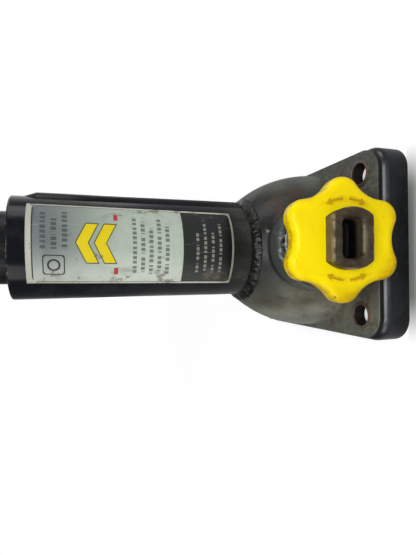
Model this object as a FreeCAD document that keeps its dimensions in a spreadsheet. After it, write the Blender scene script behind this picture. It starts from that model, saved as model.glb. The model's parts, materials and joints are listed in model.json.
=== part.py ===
import FreeCAD, Part
import os
import re
import Sketcher

# A mechanical bottle jack: a lifting screw in an upright tube, turned through a bevel pair by a
# slanted drive shaft with a crank socket and a hand knob. Millimetres, +Z up, foot on z = 0,
# screw on the Z axis, drive shaft towards -Y.

doc = FreeCAD.newDocument("screw_jack")

# How near two lengths are taken as one when edges are picked
TOUCH = 1e-3
# Places along an edge, as shares of it, where it is tested
PROBES = (0.0, 0.3, 0.7, 1.0)
# How far the cutter of a tooth gap reaches past the teeth it cuts, as a share
CUTTER_REACH = "1.3"

# Driving dimensions
SIZES = {
    # pressed foot
    "foot_length": 123.6,
    "foot_width": 95.2,
    "foot_height": 14.3,
    "foot_sheet": 3.0,
    "foot_corner": 11.5,
    "foot_bend": 4.0,
    "well_radius": 25.0,
    "well_bend": 2.5,
    # hollow rivets of the foot
    "rivet_inset_x": 12.6,
    "rivet_inset_y": 13.6,
    "rivet_bore": 10.4,
    "rivet_wall": 0.9,
    "rivet_lip": 0.5,
    "rivet_roll": 0.8,
    "rivet_flare": 0.4,
    "rivet_lip_edge": 0.3,
    "rivet_lip_curve": 1.6,
    "rivet_mouth": 0.3,
    # gear housing; the dome's top stands over the drive's apex, its side is set back from the collar
    "plate_sheet": 2.5,
    "plate_inset_x": 1.6,
    "plate_inset_y": 1.1,
    "plate_corner": 11.0,
    "plate_edge": 0.5,
    "dome_margin": 1.8,
    "dome_top": 31.8,
    "housing_wall": 2.8,
    "housing_neck": 4.7,
    "housing_blend": 3.0,
    "plate_blend": 1.2,
    "collar_radius": 22.6,
    "collar_wall": 3.0,
    "collar_start": 30.0,
    "collar_setback": 4.5,
    "collar_edge": 1.2,
    # outer tube, its guide rib and its weld
    "tube_outer": 50.0,
    "tube_wall": 3.0,
    "tube_top": 180.0,
    "tube_seat": 5.0,
    "tube_edge": 0.8,
    "rib_radius": 6.0,
    "rib_rise": 2.0,
    "rib_wall": 2.2,
    "rib_angle": -15.0,
    "rib_gap": 11.5,
    "rib_ramp": 5.5,
    "weld_leg": 3.9,
    "weld_rise": 4.2,
    "weld_bulge": 4.2,
    # bevel pair
    "shaft_tilt": 10.5,
    "apex_height": 29.2,
    "crown_teeth": 29,
    "pinion_teeth": 10,
    "crown_pitch_radius": 29.8,
    "tooth_face": 10.5,
    "crown_addendum": 1.1,
    "pinion_addendum": 1.85,
    "tooth_clearance": 0.5,
    "tooth_backlash": 0.5,
    "tooth_tip": 1.0,
    "tooth_runout": 2.0,
    "pressure_angle": 20.0,
    "crown_lift": 3.8,
    "crown_hub_radius": 14.0,
    "crown_hub_drop": 0.6,
    "dowel_radius": 1.5,
    # thrust bearing
    "ball_radius": 3.0,
    "ball_count": 12,
    "ball_circle": 17.0,
    "ball_slack": 0.05,
    "race_thickness": 3.0,
    "race_groove": 1.2,
    "race_bore_gap": 1.5,
    "race_rim_gap": 1.5,
    "cage_thickness": 1.6,
    "cage_width": 8.0,
    "cage_slack": 0.15,
    # lifting screw
    "journal_radius": 8.0,
    "journal_gap": 1.0,
    "screw_radius": 10.0,
    "screw_collar_radius": 14.0,
    "screw_collar": 4.0,
    "screw_top": 168.0,
    "spigot_radius": 7.0,
    "spigot_length": 6.0,
    "stop_radius": 13.0,
    "stop_thickness": 3.0,
    "clip_width": 1.8,
    "clip_thickness": 1.5,
    "clip_gap": 60.0,
    # ram and saddle
    "ram_outer": 35.0,
    "ram_wall": 3.0,
    "ram_top": 192.0,
    "guide_height": 12.0,
    "guide_slack": 0.05,
    "guide_edge": 0.8,
    "nut_base": 68.0,
    "nut_flange": 12.0,
    "nut_neck": 12.0,
    "nut_slack": 0.3,
    "lug_slack": 0.4,
    "thread_slack": 0.08,
    "nut_pin_radius": 2.0,
    "nut_pin_wall": 1.5,
    "nut_pin_count": 2,
    "head_plug": 10.0,
    "head_flange": 3.0,
    "stem_radius": 6.0,
    "stem_slack": 0.06,
    "stem_end": 4.0,
    "saddle_radius": 17.0,
    "saddle_height": 11.7,
    "saddle_gap": 0.3,
    "saddle_edge": 2.0,
    "saddle_groove": 4.0,
    "saddle_groove_depth": 1.5,
    # drive shaft, socket and knob, along the shaft from the apex
    "shaft_radius": 8.0,
    "shaft_slack": 0.05,
    "shaft_stem": 7.8,
    "stem_step": 1.0,
    "pinion_hub_radius": 10.5,
    "pinion_hub": 5.0,
    "washer_thickness": 2.0,
    "washer_radius": 15.0,
    "pinion_washer_radius": 13.0,
    "washer_gap": 0.2,
    "bush_flange_radius": 21.2,
    "bush_flange": 4.0,
    "bush_edge": 1.5,
    "knob_standoff": 22.0,
    "knob_radius": 27.4,
    "knob_thickness": 9.0,
    "knob_lobes": 6,
    "knob_valley": 4.8,
    "knob_lobe_flat": 0.5,
    "knob_lobe_round": 7.4,
    "knob_edge": 3.5,
    "knob_back_edge": 1.2,
    "knob_rim": 2.2,
    "knob_hub": 2.5,
    "knob_recess": 5.5,
    "socket_rise": 7.5,
    "socket_length": 26.0,
    "socket_width": 18.0,
    "socket_edge": 1.0,
    "slot_length": 16.9,
    "slot_width": 9.0,
    "slot_corner": 2.5,
    "slot_depth": 14.0,
    "slot_mouth": 1.2,
    "socket_pin_radius": 1.5,
}

sheet = doc.addObject("Spreadsheet::Sheet", "sizes")
for row, (alias, value) in enumerate(SIZES.items(), 1):
    sheet.set(f"A{row}", alias)
    sheet.set(f"B{row}", str(value))
    sheet.setAlias(f"B{row}", alias)
doc.recompute()

# Sizes worked out from the driving ones, as expressions
PLATE_TOP = "(foot_height + plate_sheet)"
PLATE_HALF_X = "(foot_width / 2 - plate_inset_x)"
PLATE_HALF_Y = "(foot_length / 2 - plate_inset_y)"
DOME_R = f"({PLATE_HALF_X} - dome_margin)"
DOME_TOP = "(apex_height + dome_top)"
TUBE_R = "(tube_outer / 2)"
BORE_R = "(tube_outer / 2 - tube_wall)"
DOME_TOP_R = f"({TUBE_R} + weld_leg)"
# the dome starts upright at its shoulder, just above the plate, and curves in to its top
SHOULDER = f"({PLATE_TOP} + plate_blend)"
DOME_DROP = f"({DOME_R} - {DOME_TOP_R})"
DOME_RISE = f"({DOME_TOP} - {SHOULDER})"
DOME_CURVE = f"(({DOME_DROP}^2 + {DOME_RISE}^2) / 2 / {DOME_DROP})"
RIB_CENTRE = f"({TUBE_R} + rib_rise - rib_radius)"
RIB_TOP = "(tube_top - rib_gap)"
RIB_BASE = f"({DOME_TOP} + weld_rise)"
RAM_R = "(ram_outer / 2)"
RAM_BORE_R = "(ram_outer / 2 - ram_wall)"
RIVET_R = "(rivet_bore / 2 + rivet_wall)"
RIVET_X = "(foot_width / 2 - rivet_inset_x)"
RIVET_Y = "(foot_length / 2 - rivet_inset_y)"
RACE_TOP = "(foot_sheet + race_thickness)"
BALL_Z = f"({RACE_TOP} - race_groove + ball_radius)"
UPPER_RACE = f"({BALL_Z} + ball_radius - race_groove)"
HUB_BASE = f"({UPPER_RACE} + race_thickness)"
HUB_TOP = "(apex_height - crown_hub_drop)"
GROOVE_R = "(ball_radius + ball_slack)"
CROWN_TURN = "(180 / crown_teeth - 90)"
# tangents of the pinion's pitch angle and of the pitch line's slope
PINION_TAN = "(cos(shaft_tilt) / (crown_teeth / pinion_teeth - sin(shaft_tilt)))"
PITCH_TAN = f"((tan(shaft_tilt) - {PINION_TAN}) / (1 + tan(shaft_tilt) * {PINION_TAN}))"
PINION_END = f"(crown_pitch_radius * sqrt((1 + {PITCH_TAN}^2) / (1 + {PINION_TAN}^2)))"
INNER_SHARE = "((crown_pitch_radius - tooth_face) / crown_pitch_radius)"
PINION_R = f"({PINION_END} * {PINION_TAN})"
PINION_TIP = f"({PINION_R} + pinion_addendum)"
PINION_ROOT = f"({PINION_R} - crown_addendum - tooth_clearance)"
HUB_END = f"({PINION_END} + pinion_hub)"
COLLAR_REACH = f"(({DOME_R} + collar_setback) / cos(shaft_tilt))"
BUSH_START = f"({HUB_END} + washer_thickness + washer_gap)"
BUSH_END = f"({COLLAR_REACH} + bush_flange)"
SOCKET_START = f"({BUSH_END} + washer_gap + washer_thickness)"
KNOB_FRONT = f"({COLLAR_REACH} + knob_standoff)"
SOCKET_END = f"({KNOB_FRONT} + socket_rise)"
KNOB_BACK = f"({KNOB_FRONT} - knob_thickness)"
COLLAR_BORE = "(collar_radius - collar_wall)"
# the bite between two lobes is as round as the lobes leave room for, less a narrow flat on each tip
LOBE_COS = "cos(180 / knob_lobes - knob_lobe_flat)"
LOBE_CENTRE = "(knob_radius - knob_lobe_round)"
VALLEY_R = "(knob_radius - knob_valley)"
LOBE_SIDE = f"{LOBE_CENTRE} * {LOBE_COS}"
BITE_REST = f"({LOBE_CENTRE}^2 + {VALLEY_R}^2 - 2 * {LOBE_SIDE} * {VALLEY_R} - knob_lobe_round^2)"
BITE_R = f"({BITE_REST} / 2 / (knob_lobe_round - {VALLEY_R} + {LOBE_SIDE}))"
SADDLE_BASE = "(ram_top + head_flange + saddle_gap)"
STEM_BASE = "(ram_top - head_plug - stem_end)"


def bind(text):
    """Names the sheet in front of every size in an expression."""
    return re.sub(r"\b([a-z]+(?:_[a-z]+)+)\b", r"sizes.\1", text)


def tie(thing, prop, text):
    """Drives a property by an expression in the sheet's sizes."""
    thing.setExpression(prop, bind(text))


def number(text):
    """The present value of an expression in the sheet's sizes."""
    return float(sheet.evalExpression(bind(text)))


def new_body(label, slanted=False):
    """An empty body; a slanted one stands on the bevel pair's apex with its Z along the drive shaft."""
    body = doc.addObject("PartDesign::Body", label)
    body.Label = label
    if slanted:
        lean = FreeCAD.Rotation(FreeCAD.Vector(1, 0, 0), number("90 - shaft_tilt"))
        body.Placement = FreeCAD.Placement(FreeCAD.Vector(0, 0, number("apex_height")), lean)
        tie(body, ".Placement.Base.z", "apex_height")
        tie(body, ".Placement.Rotation.Angle", "90 - shaft_tilt")
    return body


def datum(body, role):
    """One of the body's own origin planes or axes."""
    return next(item for item in body.Origin.OriginFeatures if item.Role == role)


def new_sketch(body, role, lift="0"):
    """A sketch on an origin plane of the body, lifted along the plane's normal."""
    sketch = body.newObject("Sketcher::SketchObject", f"{body.Name}_sketch")
    sketch.AttachmentSupport = [(datum(body, role), "")]
    sketch.MapMode = "FlatFace"
    if lift != "0":
        sketch.AttachmentOffset = FreeCAD.Placement(FreeCAD.Vector(0, 0, number(lift)), FreeCAD.Rotation())
        tie(sketch, ".AttachmentOffset.Base.z", lift)
    return sketch


def place_point(sketch, item, end, across, up):
    """Ties one point of a sketch to its place."""
    for kind, axis, text in (("DistanceX", -2, across), ("DistanceY", -1, up)):
        if text == "0":
            sketch.addConstraint(Sketcher.Constraint("PointOnObject", item, end, axis))
        else:
            index = sketch.addConstraint(Sketcher.Constraint(kind, -1, 1, item, end, number(text)))
            tie(sketch, f"Constraints[{index}]", text)


def arc_between(start, end, radius):
    """An arc from start to end, to the left of its chord for a positive radius; says if it is reversed."""
    chord = end - start
    middle = (start + end) / 2
    left = FreeCAD.Vector(-chord.y, chord.x, 0).normalize()
    reach = max(radius ** 2 - (chord.Length / 2) ** 2, 0.0) ** 0.5
    centre = middle + left * (reach if radius > 0 else -reach)
    circle = Part.Circle(centre, FreeCAD.Vector(0, 0, 1), abs(radius))
    ends = [circle.parameter(start), circle.parameter(end)]
    if radius < 0:
        ends.reverse()
    return Part.ArcOfCircle(circle, *ends), radius < 0


def outline(sketch, corners):
    """A closed outline through (across, up) corners; a third item bends the side that starts there
    into an arc, with its centre on the left of the side when the sign is +."""
    places = [FreeCAD.Vector(number(corner[0]), number(corner[1]), 0) for corner in corners]
    starts = []
    ends = []
    for index, corner in enumerate(corners):
        start = places[index]
        end = places[(index + 1) % len(places)]
        turned_round = False
        if len(corner) == 3:
            sign, text = corner[2]
            edge, turned_round = arc_between(start, end, sign * number(text))
        else:
            edge = Part.LineSegment(start, end)
        item = sketch.addGeometry(edge, False)
        starts.append((item, 2 if turned_round else 1))
        ends.append((item, 1 if turned_round else 2))
        if len(corner) == 3:
            bend = sketch.addConstraint(Sketcher.Constraint("Radius", item, number(text)))
            tie(sketch, f"Constraints[{bend}]", text)
    for index, corner in enumerate(corners):
        sketch.addConstraint(Sketcher.Constraint("Coincident", *ends[index - 1], *starts[index]))
        place_point(sketch, *starts[index], corner[0], corner[1])


def circle(sketch, across, up, radius):
    """A circle tied to its place and radius."""
    centre = FreeCAD.Vector(number(across), number(up), 0)
    item = sketch.addGeometry(Part.Circle(centre, FreeCAD.Vector(0, 0, 1), number(radius)), False)
    place_point(sketch, item, 3, across, up)
    index = sketch.addConstraint(Sketcher.Constraint("Radius", item, number(radius)))
    tie(sketch, f"Constraints[{index}]", radius)


def rounded_box(sketch, half_x, half_y, corner):
    """A rectangle about the origin with round corners."""
    inner_x = f"({half_x} - {corner})"
    inner_y = f"({half_y} - {corner})"
    outline(sketch, [
        (f"-{inner_x}", f"-{half_y}"),
        (inner_x, f"-{half_y}", (1, corner)),
        (half_x, f"-{inner_y}"),
        (half_x, inner_y, (1, corner)),
        (inner_x, half_y),
        (f"-{inner_x}", half_y, (1, corner)),
        (f"-{half_x}", inner_y),
        (f"-{half_x}", f"-{inner_y}", (1, corner)),
    ])


def extrude(body, kind, sketch, length, flip=False):
    """A Pad along, or a Pocket against, the sketch's normal; flip turns it round."""
    feature = body.newObject(f"PartDesign::{kind}", f"{body.Name}_{kind.lower()}")
    feature.Profile = sketch
    feature.Type = "Length"
    tie(feature, "Length", length)
    feature.Reversed = flip
    sketch.Visibility = False
    return feature


def spin(body, kind, corners, role="XZ_Plane"):
    """A Revolution or a Groove of an outline of (radius, height) corners about the body's Z axis."""
    sketch = new_sketch(body, role)
    outline(sketch, corners)
    feature = body.newObject(f"PartDesign::{kind}", f"{body.Name}_{kind.lower()}")
    feature.Profile = sketch
    feature.ReferenceAxis = (datum(body, "Z_Axis"), [""])
    feature.Angle = 360
    return feature


def rod(body, kind, radius, base, height, across="0", along="0", slanted=False):
    """An Additive or Subtractive cylinder, upright or along the drive shaft."""
    feature = body.newObject(f"PartDesign::{kind}Cylinder", f"{body.Name}_rod")
    tie(feature, "Radius", radius)
    tie(feature, "Height", height)
    if slanted:
        lean = FreeCAD.Rotation(FreeCAD.Vector(1, 0, 0), number("90 - shaft_tilt"))
        feature.Placement = FreeCAD.Placement(FreeCAD.Vector(), lean)
        tie(feature, ".Placement.Rotation.Angle", "90 - shaft_tilt")
        along = f"-({base}) * cos(shaft_tilt)"
        base = f"apex_height + ({base}) * sin(shaft_tilt)"
    for axis, text in (("x", across), ("y", along), ("z", base)):
        tie(feature, f".Placement.Base.{axis}", text)
    return feature


def dress(body, kind, prop, size, chosen):
    """A Fillet or Chamfer on the edges of the body's tip that the test picks."""
    doc.recompute()
    base = body.Tip
    names = [f"Edge{i}" for i, edge in enumerate(base.Shape.Edges, 1) if chosen(edge)]
    if not names:
        raise ValueError(f"no edge to {kind} on {body.Name}")
    feature = body.newObject(f"PartDesign::{kind}", f"{body.Name}_{kind.lower()}")
    feature.Base = (base, names)
    tie(feature, prop, size)
    return feature


def fillet(body, size, chosen):
    """Rounds the edges that the test picks."""
    return dress(body, "Fillet", "Radius", size, chosen)


def level(edge, height):
    """Tells whether an edge lies flat at a height."""
    box = edge.BoundBox
    return abs(box.ZMin - height) < TOUCH and abs(box.ZMax - height) < TOUCH


def on_collar(edge, at_rim):
    """Tells whether an edge of the housing runs round its slanted collar, at the rim or below it."""
    first = edge.FirstParameter
    span = edge.LastParameter - first
    lean = FreeCAD.Rotation(FreeCAD.Vector(1, 0, 0), number("90 - shaft_tilt"))
    outward = lean.multVec(FreeCAD.Vector(0, 0, 1))
    apex = FreeCAD.Vector(0, 0, number("apex_height"))
    for share in PROBES:
        arm = edge.valueAt(first + share * span) - apex
        reach = arm.dot(outward)
        if abs((arm - outward * reach).Length - number("collar_radius")) > TOUCH:
            return False
        if (abs(reach - number(COLLAR_REACH)) < TOUCH) != at_rim:
            return False
    return True


def polar(body, feature, count):
    """Repeats a feature round the body's Z axis."""
    pattern = body.newObject("PartDesign::PolarPattern", f"{body.Name}_polar")
    pattern.Originals = [feature]
    pattern.Axis = (datum(body, "Z_Axis"), [""])
    pattern.Angle = 360
    tie(pattern, "Occurrences", count)
    body.Tip = pattern
    return pattern


def tooth_gaps(body, sections, count):
    """Cuts one tapering tooth gap between two sections and repeats it."""
    loft = body.newObject("PartDesign::SubtractiveLoft", f"{body.Name}_gap")
    loft.Profile = sections[0]
    loft.Sections = [sections[1]]
    loft.Ruled = True
    doc.recompute()
    polar(body, loft, count)


def rivet_holes(body, base, height):
    """The four holes that the hollow rivets pass through."""
    sketch = new_sketch(body, "XY_Plane", base)
    for across in (RIVET_X, f"-{RIVET_X}"):
        for along in (RIVET_Y, f"-{RIVET_Y}"):
            circle(sketch, across, along, RIVET_R)
    extrude(body, "Pocket", sketch, height, flip=True)


def foot_plate():
    """Pressed tray with down-turned edges, a drawn well for the thrust bearing and four holes."""
    body = new_body("foot_plate")
    outer = new_sketch(body, "XY_Plane")
    rounded_box(outer, "(foot_width / 2)", "(foot_length / 2)", "foot_corner")
    extrude(body, "Pad", outer, "foot_height")
    top = number("foot_height")
    fillet(body, "foot_bend", lambda edge: level(edge, top))
    inner = new_sketch(body, "XY_Plane")
    rounded_box(inner, "(foot_width / 2 - foot_sheet)", "(foot_length / 2 - foot_sheet)",
                "(foot_corner - foot_sheet)")
    extrude(body, "Pocket", inner, "foot_height - foot_sheet", flip=True)
    under = number("foot_height - foot_sheet")
    fillet(body, "foot_bend - foot_sheet", lambda edge: level(edge, under))
    mouth = new_sketch(body, "XY_Plane")
    circle(mouth, "0", "0", "well_radius")
    extrude(body, "Pocket", mouth, "foot_height", flip=True)
    spin(body, "Revolution", [
        ("0", "0"),
        ("well_radius + foot_sheet - well_bend", "0", (1, "well_bend")),
        ("well_radius + foot_sheet", "well_bend"),
        ("well_radius + foot_sheet", "foot_height"),
        ("well_radius", "foot_height"),
        ("well_radius", "foot_sheet"),
        ("0", "foot_sheet"),
    ])
    rivet_holes(body, "0", "foot_height")
    return body


def gear_housing():
    """Bell-shaped pressing with a flat flange plate and a drawn collar along the drive shaft."""
    body = new_body("gear_housing")
    skirt = "(foot_height - collar_radius)"
    spin(body, "Revolution", [
        ("0", skirt),
        (DOME_R, skirt),
        (DOME_R, SHOULDER, (1, DOME_CURVE)),
        (DOME_TOP_R, DOME_TOP),
        ("0", DOME_TOP),
    ])
    rod(body, "Additive", "collar_radius", "collar_start", f"{COLLAR_REACH} - collar_start", slanted=True)
    fillet(body, "housing_blend", lambda edge: on_collar(edge, False))
    fillet(body, "collar_edge", lambda edge: on_collar(edge, True))
    trim = new_sketch(body, "XY_Plane", "foot_height")
    circle(trim, "0", "0", "foot_length")
    extrude(body, "Pocket", trim, "foot_height + collar_radius")
    flange = new_sketch(body, "XY_Plane", "foot_height")
    rounded_box(flange, PLATE_HALF_X, PLATE_HALF_Y, "plate_corner")
    extrude(body, "Pad", flange, "plate_sheet")
    plate_top = number(PLATE_TOP)
    half_x = number(PLATE_HALF_X)
    half_y = number(PLATE_HALF_Y)

    def at_plate_rim(edge):
        box = edge.BoundBox
        at_side = max(box.XMax, -box.XMin) > half_x - TOUCH
        at_end = max(box.YMax, -box.YMin) > half_y - TOUCH
        return level(edge, plate_top) and (at_side or at_end)

    fillet(body, "plate_edge", at_plate_rim)
    spin(body, "Revolution", [
        (f"{DOME_R} - housing_wall", PLATE_TOP),
        (f"{DOME_R} + plate_blend", PLATE_TOP, (-1, "plate_blend")),
        (DOME_R, SHOULDER),
        (f"{DOME_R} - housing_wall", SHOULDER),
    ])
    spin(body, "Groove", [
        ("0", "foot_height"),
        (f"{DOME_R} - housing_wall", "foot_height"),
        (f"{DOME_R} - housing_wall", SHOULDER, (1, f"({DOME_CURVE} - housing_wall)")),
        (f"{DOME_TOP_R} - housing_neck", DOME_TOP),
        ("0", DOME_TOP),
    ])
    mouth = new_sketch(body, "XY_Plane", DOME_TOP)
    circle(mouth, "0", "0", TUBE_R)
    extrude(body, "Pocket", mouth, "tube_seat")
    rod(body, "Subtractive", COLLAR_BORE, HUB_END, f"{COLLAR_REACH} - {HUB_END}", slanted=True)
    rivet_holes(body, "foot_height", "plate_sheet")
    return body


def foot_rivets():
    """Four hollow rivets, lip rolled over the flange plate and flared under the foot's sheet."""
    body = new_body("foot_rivets")
    body.AllowCompound = True
    sketch = new_sketch(body, "XZ_Plane", RIVET_Y)
    tie(sketch, ".AttachmentOffset.Base.x", RIVET_X)
    under = "(foot_height - foot_sheet)"
    outline(sketch, [
        ("rivet_bore / 2", f"{under} - rivet_roll"),
        (f"{RIVET_R} + rivet_flare", f"{under} - rivet_roll / 2"),
        (f"{RIVET_R} + rivet_flare", under),
        (RIVET_R, under),
        (RIVET_R, PLATE_TOP),
        (f"{RIVET_R} + rivet_lip", PLATE_TOP),
        (f"{RIVET_R} + rivet_lip", f"{PLATE_TOP} + rivet_lip_edge", (1, "rivet_lip_curve")),
        ("rivet_bore / 2 + rivet_mouth", f"{PLATE_TOP} + rivet_roll"),
        ("rivet_bore / 2", f"{PLATE_TOP} + rivet_roll - rivet_mouth"),
    ])
    ring = body.newObject("PartDesign::Revolution", "foot_rivets_ring")
    ring.Profile = sketch
    ring.ReferenceAxis = (sketch, ["V_Axis"])
    ring.Angle = 360
    doc.recompute()
    repeat = body.newObject("PartDesign::MultiTransform", "foot_rivets_all")
    steps = []
    for role in ("YZ_Plane", "XZ_Plane"):
        step = body.newObject("PartDesign::Mirrored", "foot_rivets_mirror")
        step.MirrorPlane = (datum(body, role), [""])
        steps.append(step)
    repeat.Originals = [ring]
    repeat.Transformations = steps
    body.Tip = repeat
    return body


def outer_tube():
    """Tube with one long guide rib pressed outwards, which leaves a channel inside."""
    body = new_body("outer_tube")
    base = f"({DOME_TOP} - tube_seat)"
    rod(body, "Additive", TUBE_R, base, f"tube_top - {base}")
    top = number("tube_top")
    fillet(body, "tube_edge", lambda edge: level(edge, top))
    across = f"{RIB_CENTRE} * cos(rib_angle)"
    along = f"{RIB_CENTRE} * sin(rib_angle)"
    rod(body, "Additive", "rib_radius", RIB_BASE, f"{RIB_TOP} - {RIB_BASE}", across, along)
    ramp = body.newObject("PartDesign::AdditiveCone", "outer_tube_ramp")
    tie(ramp, "Radius1", "rib_radius")
    tie(ramp, "Radius2", "rib_radius - rib_rise")
    tie(ramp, "Height", "rib_ramp")
    for axis, text in (("x", across), ("y", along), ("z", RIB_TOP)):
        tie(ramp, f".Placement.Base.{axis}", text)
    rod(body, "Subtractive", BORE_R, base, f"tube_top - {base}")
    rod(body, "Subtractive", "rib_radius - rib_wall", RIB_BASE, f"{RIB_TOP} - {RIB_BASE}", across, along)
    return body


def tube_weld():
    """Bead that joins the tube to the top of the housing."""
    body = new_body("tube_weld")
    spin(body, "Revolution", [
        (TUBE_R, DOME_TOP),
        (DOME_TOP_R, DOME_TOP, (1, "weld_bulge")),
        (TUBE_R, f"{DOME_TOP} + weld_rise"),
    ])
    return body


def guide_bush():
    """Bush in the mouth of the outer tube that guides the ram."""
    body = new_body("guide_bush")
    spin(body, "Revolution", [
        (f"{RAM_R} + guide_slack", "tube_top - guide_height"),
        (BORE_R, "tube_top - guide_height"),
        (BORE_R, "tube_top - tube_edge"),
        (f"{RAM_R} + guide_slack + guide_edge", "tube_top - tube_edge"),
        (f"{RAM_R} + guide_slack", "tube_top - tube_edge - guide_edge"),
    ])
    return body


def pinion_bush():
    """Flanged bush of the drive shaft in the housing's collar."""
    body = new_body("pinion_bush", slanted=True)
    spin(body, "Revolution", [
        ("shaft_radius + shaft_slack", BUSH_START),
        (COLLAR_BORE, BUSH_START),
        (COLLAR_BORE, COLLAR_REACH),
        ("bush_flange_radius", COLLAR_REACH),
        ("bush_flange_radius", f"{BUSH_END} - bush_edge", (1, "bush_edge")),
        ("bush_flange_radius - bush_edge", BUSH_END),
        ("shaft_radius + shaft_slack", BUSH_END),
    ])
    return body


def thrust_races():
    """Lower race in the foot's well and upper race under the crown wheel, each with a ball groove."""
    groove = f"sqrt({GROOVE_R}^2 - ({GROOVE_R} - race_groove)^2)"
    lower = new_body("thrust_race_lower")
    spin(lower, "Revolution", [
        ("journal_radius + race_bore_gap", "foot_sheet"),
        ("well_radius", "foot_sheet"),
        ("well_radius", RACE_TOP),
        (f"ball_circle + {groove}", RACE_TOP, (-1, GROOVE_R)),
        (f"ball_circle - {groove}", RACE_TOP),
        ("journal_radius + race_bore_gap", RACE_TOP),
    ])
    upper = new_body("thrust_race_upper")
    spin(upper, "Revolution", [
        ("journal_radius", UPPER_RACE),
        (f"ball_circle - {groove}", UPPER_RACE, (-1, GROOVE_R)),
        (f"ball_circle + {groove}", UPPER_RACE),
        ("well_radius - race_rim_gap", UPPER_RACE),
        ("well_radius - race_rim_gap", HUB_BASE),
        ("journal_radius", HUB_BASE),
    ])
    return [lower, upper]


def thrust_balls():
    """Ring of bearing balls."""
    body = new_body("thrust_balls")
    body.AllowCompound = True
    ball = body.newObject("PartDesign::AdditiveSphere", "thrust_balls_one")
    tie(ball, "Radius", "ball_radius")
    tie(ball, ".Placement.Base.x", "ball_circle")
    tie(ball, ".Placement.Base.z", BALL_Z)
    doc.recompute()
    polar(body, ball, "ball_count")
    return body


def ball_cage():
    """Flat ring with one hole for each ball."""
    body = new_body("ball_cage")
    low = f"({BALL_Z} - cage_thickness / 2)"
    spin(body, "Revolution", [
        ("ball_circle - cage_width / 2", low),
        ("ball_circle + cage_width / 2", low),
        ("ball_circle + cage_width / 2", f"{low} + cage_thickness"),
        ("ball_circle - cage_width / 2", f"{low} + cage_thickness"),
    ])
    hole = rod(body, "Subtractive", "ball_radius + cage_slack", low, "cage_thickness", "ball_circle")
    doc.recompute()
    polar(body, hole, "ball_count")
    return body


def dowel(body, kind, turn):
    """The dowel that lies half in the screw's journal and half in the crown wheel, solid or as a groove."""
    across = f"journal_radius * cos({turn})"
    along = f"journal_radius * sin({turn})"
    rod(body, kind, "dowel_radius", HUB_BASE, f"{HUB_TOP} - {HUB_BASE}", across, along)


def lead_screw():
    """Lifting screw: journal through the crown wheel, thrust collar, shank and top spigot."""
    body = new_body("lead_screw")
    collar_top = f"({HUB_TOP} + screw_collar)"
    spin(body, "Revolution", [
        ("0", "foot_sheet + journal_gap"),
        ("journal_radius", "foot_sheet + journal_gap"),
        ("journal_radius", HUB_TOP),
        ("screw_collar_radius", HUB_TOP),
        ("screw_collar_radius", collar_top),
        ("screw_radius", collar_top),
        ("screw_radius", "screw_top"),
        ("spigot_radius", "screw_top"),
        ("spigot_radius", "screw_top + spigot_length"),
        ("0", "screw_top + spigot_length"),
    ])
    dowel(body, "Subtractive", CROWN_TURN)
    return body


def crown_gear():
    """Crown wheel whose tapering teeth point up at the pinion."""
    body = new_body("crown_gear")
    turn = FreeCAD.Rotation(FreeCAD.Vector(0, 0, 1), number(CROWN_TURN))
    body.Placement = FreeCAD.Placement(FreeCAD.Vector(), turn)
    tie(body, ".Placement.Rotation.Angle", CROWN_TURN)
    pitch_drop = f"crown_pitch_radius * {PITCH_TAN}"
    crest = f"({pitch_drop} + crown_addendum)"
    root = f"({pitch_drop} - pinion_addendum - tooth_clearance)"
    tooth_start = "(crown_pitch_radius - tooth_face)"
    web_top = f"(apex_height + {INNER_SHARE} * {root})"
    disc_base = "(foot_height + crown_lift)"
    spin(body, "Revolution", [
        ("journal_radius", HUB_BASE),
        ("crown_hub_radius", HUB_BASE),
        ("crown_hub_radius", disc_base),
        ("crown_pitch_radius", disc_base),
        ("crown_pitch_radius", f"apex_height + {crest}"),
        (tooth_start, f"apex_height + {INNER_SHARE} * {crest}"),
        (tooth_start, web_top),
        ("crown_hub_radius", web_top),
        ("crown_hub_radius", HUB_TOP),
        ("journal_radius", HUB_TOP),
    ])
    half_gap = "(pi * crown_pitch_radius / crown_teeth / 2 + tooth_backlash / 4)"
    gap_root = f"({half_gap} - (pinion_addendum + tooth_clearance) * tan(pressure_angle))"
    gap_crest = f"({half_gap} + 2 * crown_addendum * tan(pressure_angle))"
    over = f"({pitch_drop} + 2 * crown_addendum)"
    sections = []
    for share in ("(1 + tooth_clearance / tooth_face)", f"({INNER_SHARE} - tooth_clearance / tooth_face)"):
        sketch = new_sketch(body, "YZ_Plane", f"crown_pitch_radius * {share}")
        outline(sketch, [
            (f"-{share} * {gap_root}", f"apex_height + {share} * {root}"),
            (f"{share} * {gap_root}", f"apex_height + {share} * {root}"),
            (f"{share} * {gap_crest}", f"apex_height + {share} * {over}"),
            (f"-{share} * {gap_crest}", f"apex_height + {share} * {over}"),
        ])
        sections.append(sketch)
    tooth_gaps(body, sections, "crown_teeth")
    dowel(body, "Subtractive", "0")
    return body


def gear_pin():
    """Dowel half in the journal and half in the crown wheel."""
    body = new_body("gear_pin")
    dowel(body, "Additive", CROWN_TURN)
    return body


def clip(label, inner, base):
    """Open retaining ring on the Z axis."""
    body = new_body(label)
    sketch = new_sketch(body, "XZ_Plane")
    outline(sketch, [
        (inner, base),
        (f"{inner} + clip_width", base),
        (f"{inner} + clip_width", f"{base} + clip_thickness"),
        (inner, f"{base} + clip_thickness"),
    ])
    ring = body.newObject("PartDesign::Revolution", f"{label}_ring")
    ring.Profile = sketch
    ring.ReferenceAxis = (datum(body, "Z_Axis"), [""])
    tie(ring, "Angle", "360 - clip_gap")
    return body


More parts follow.
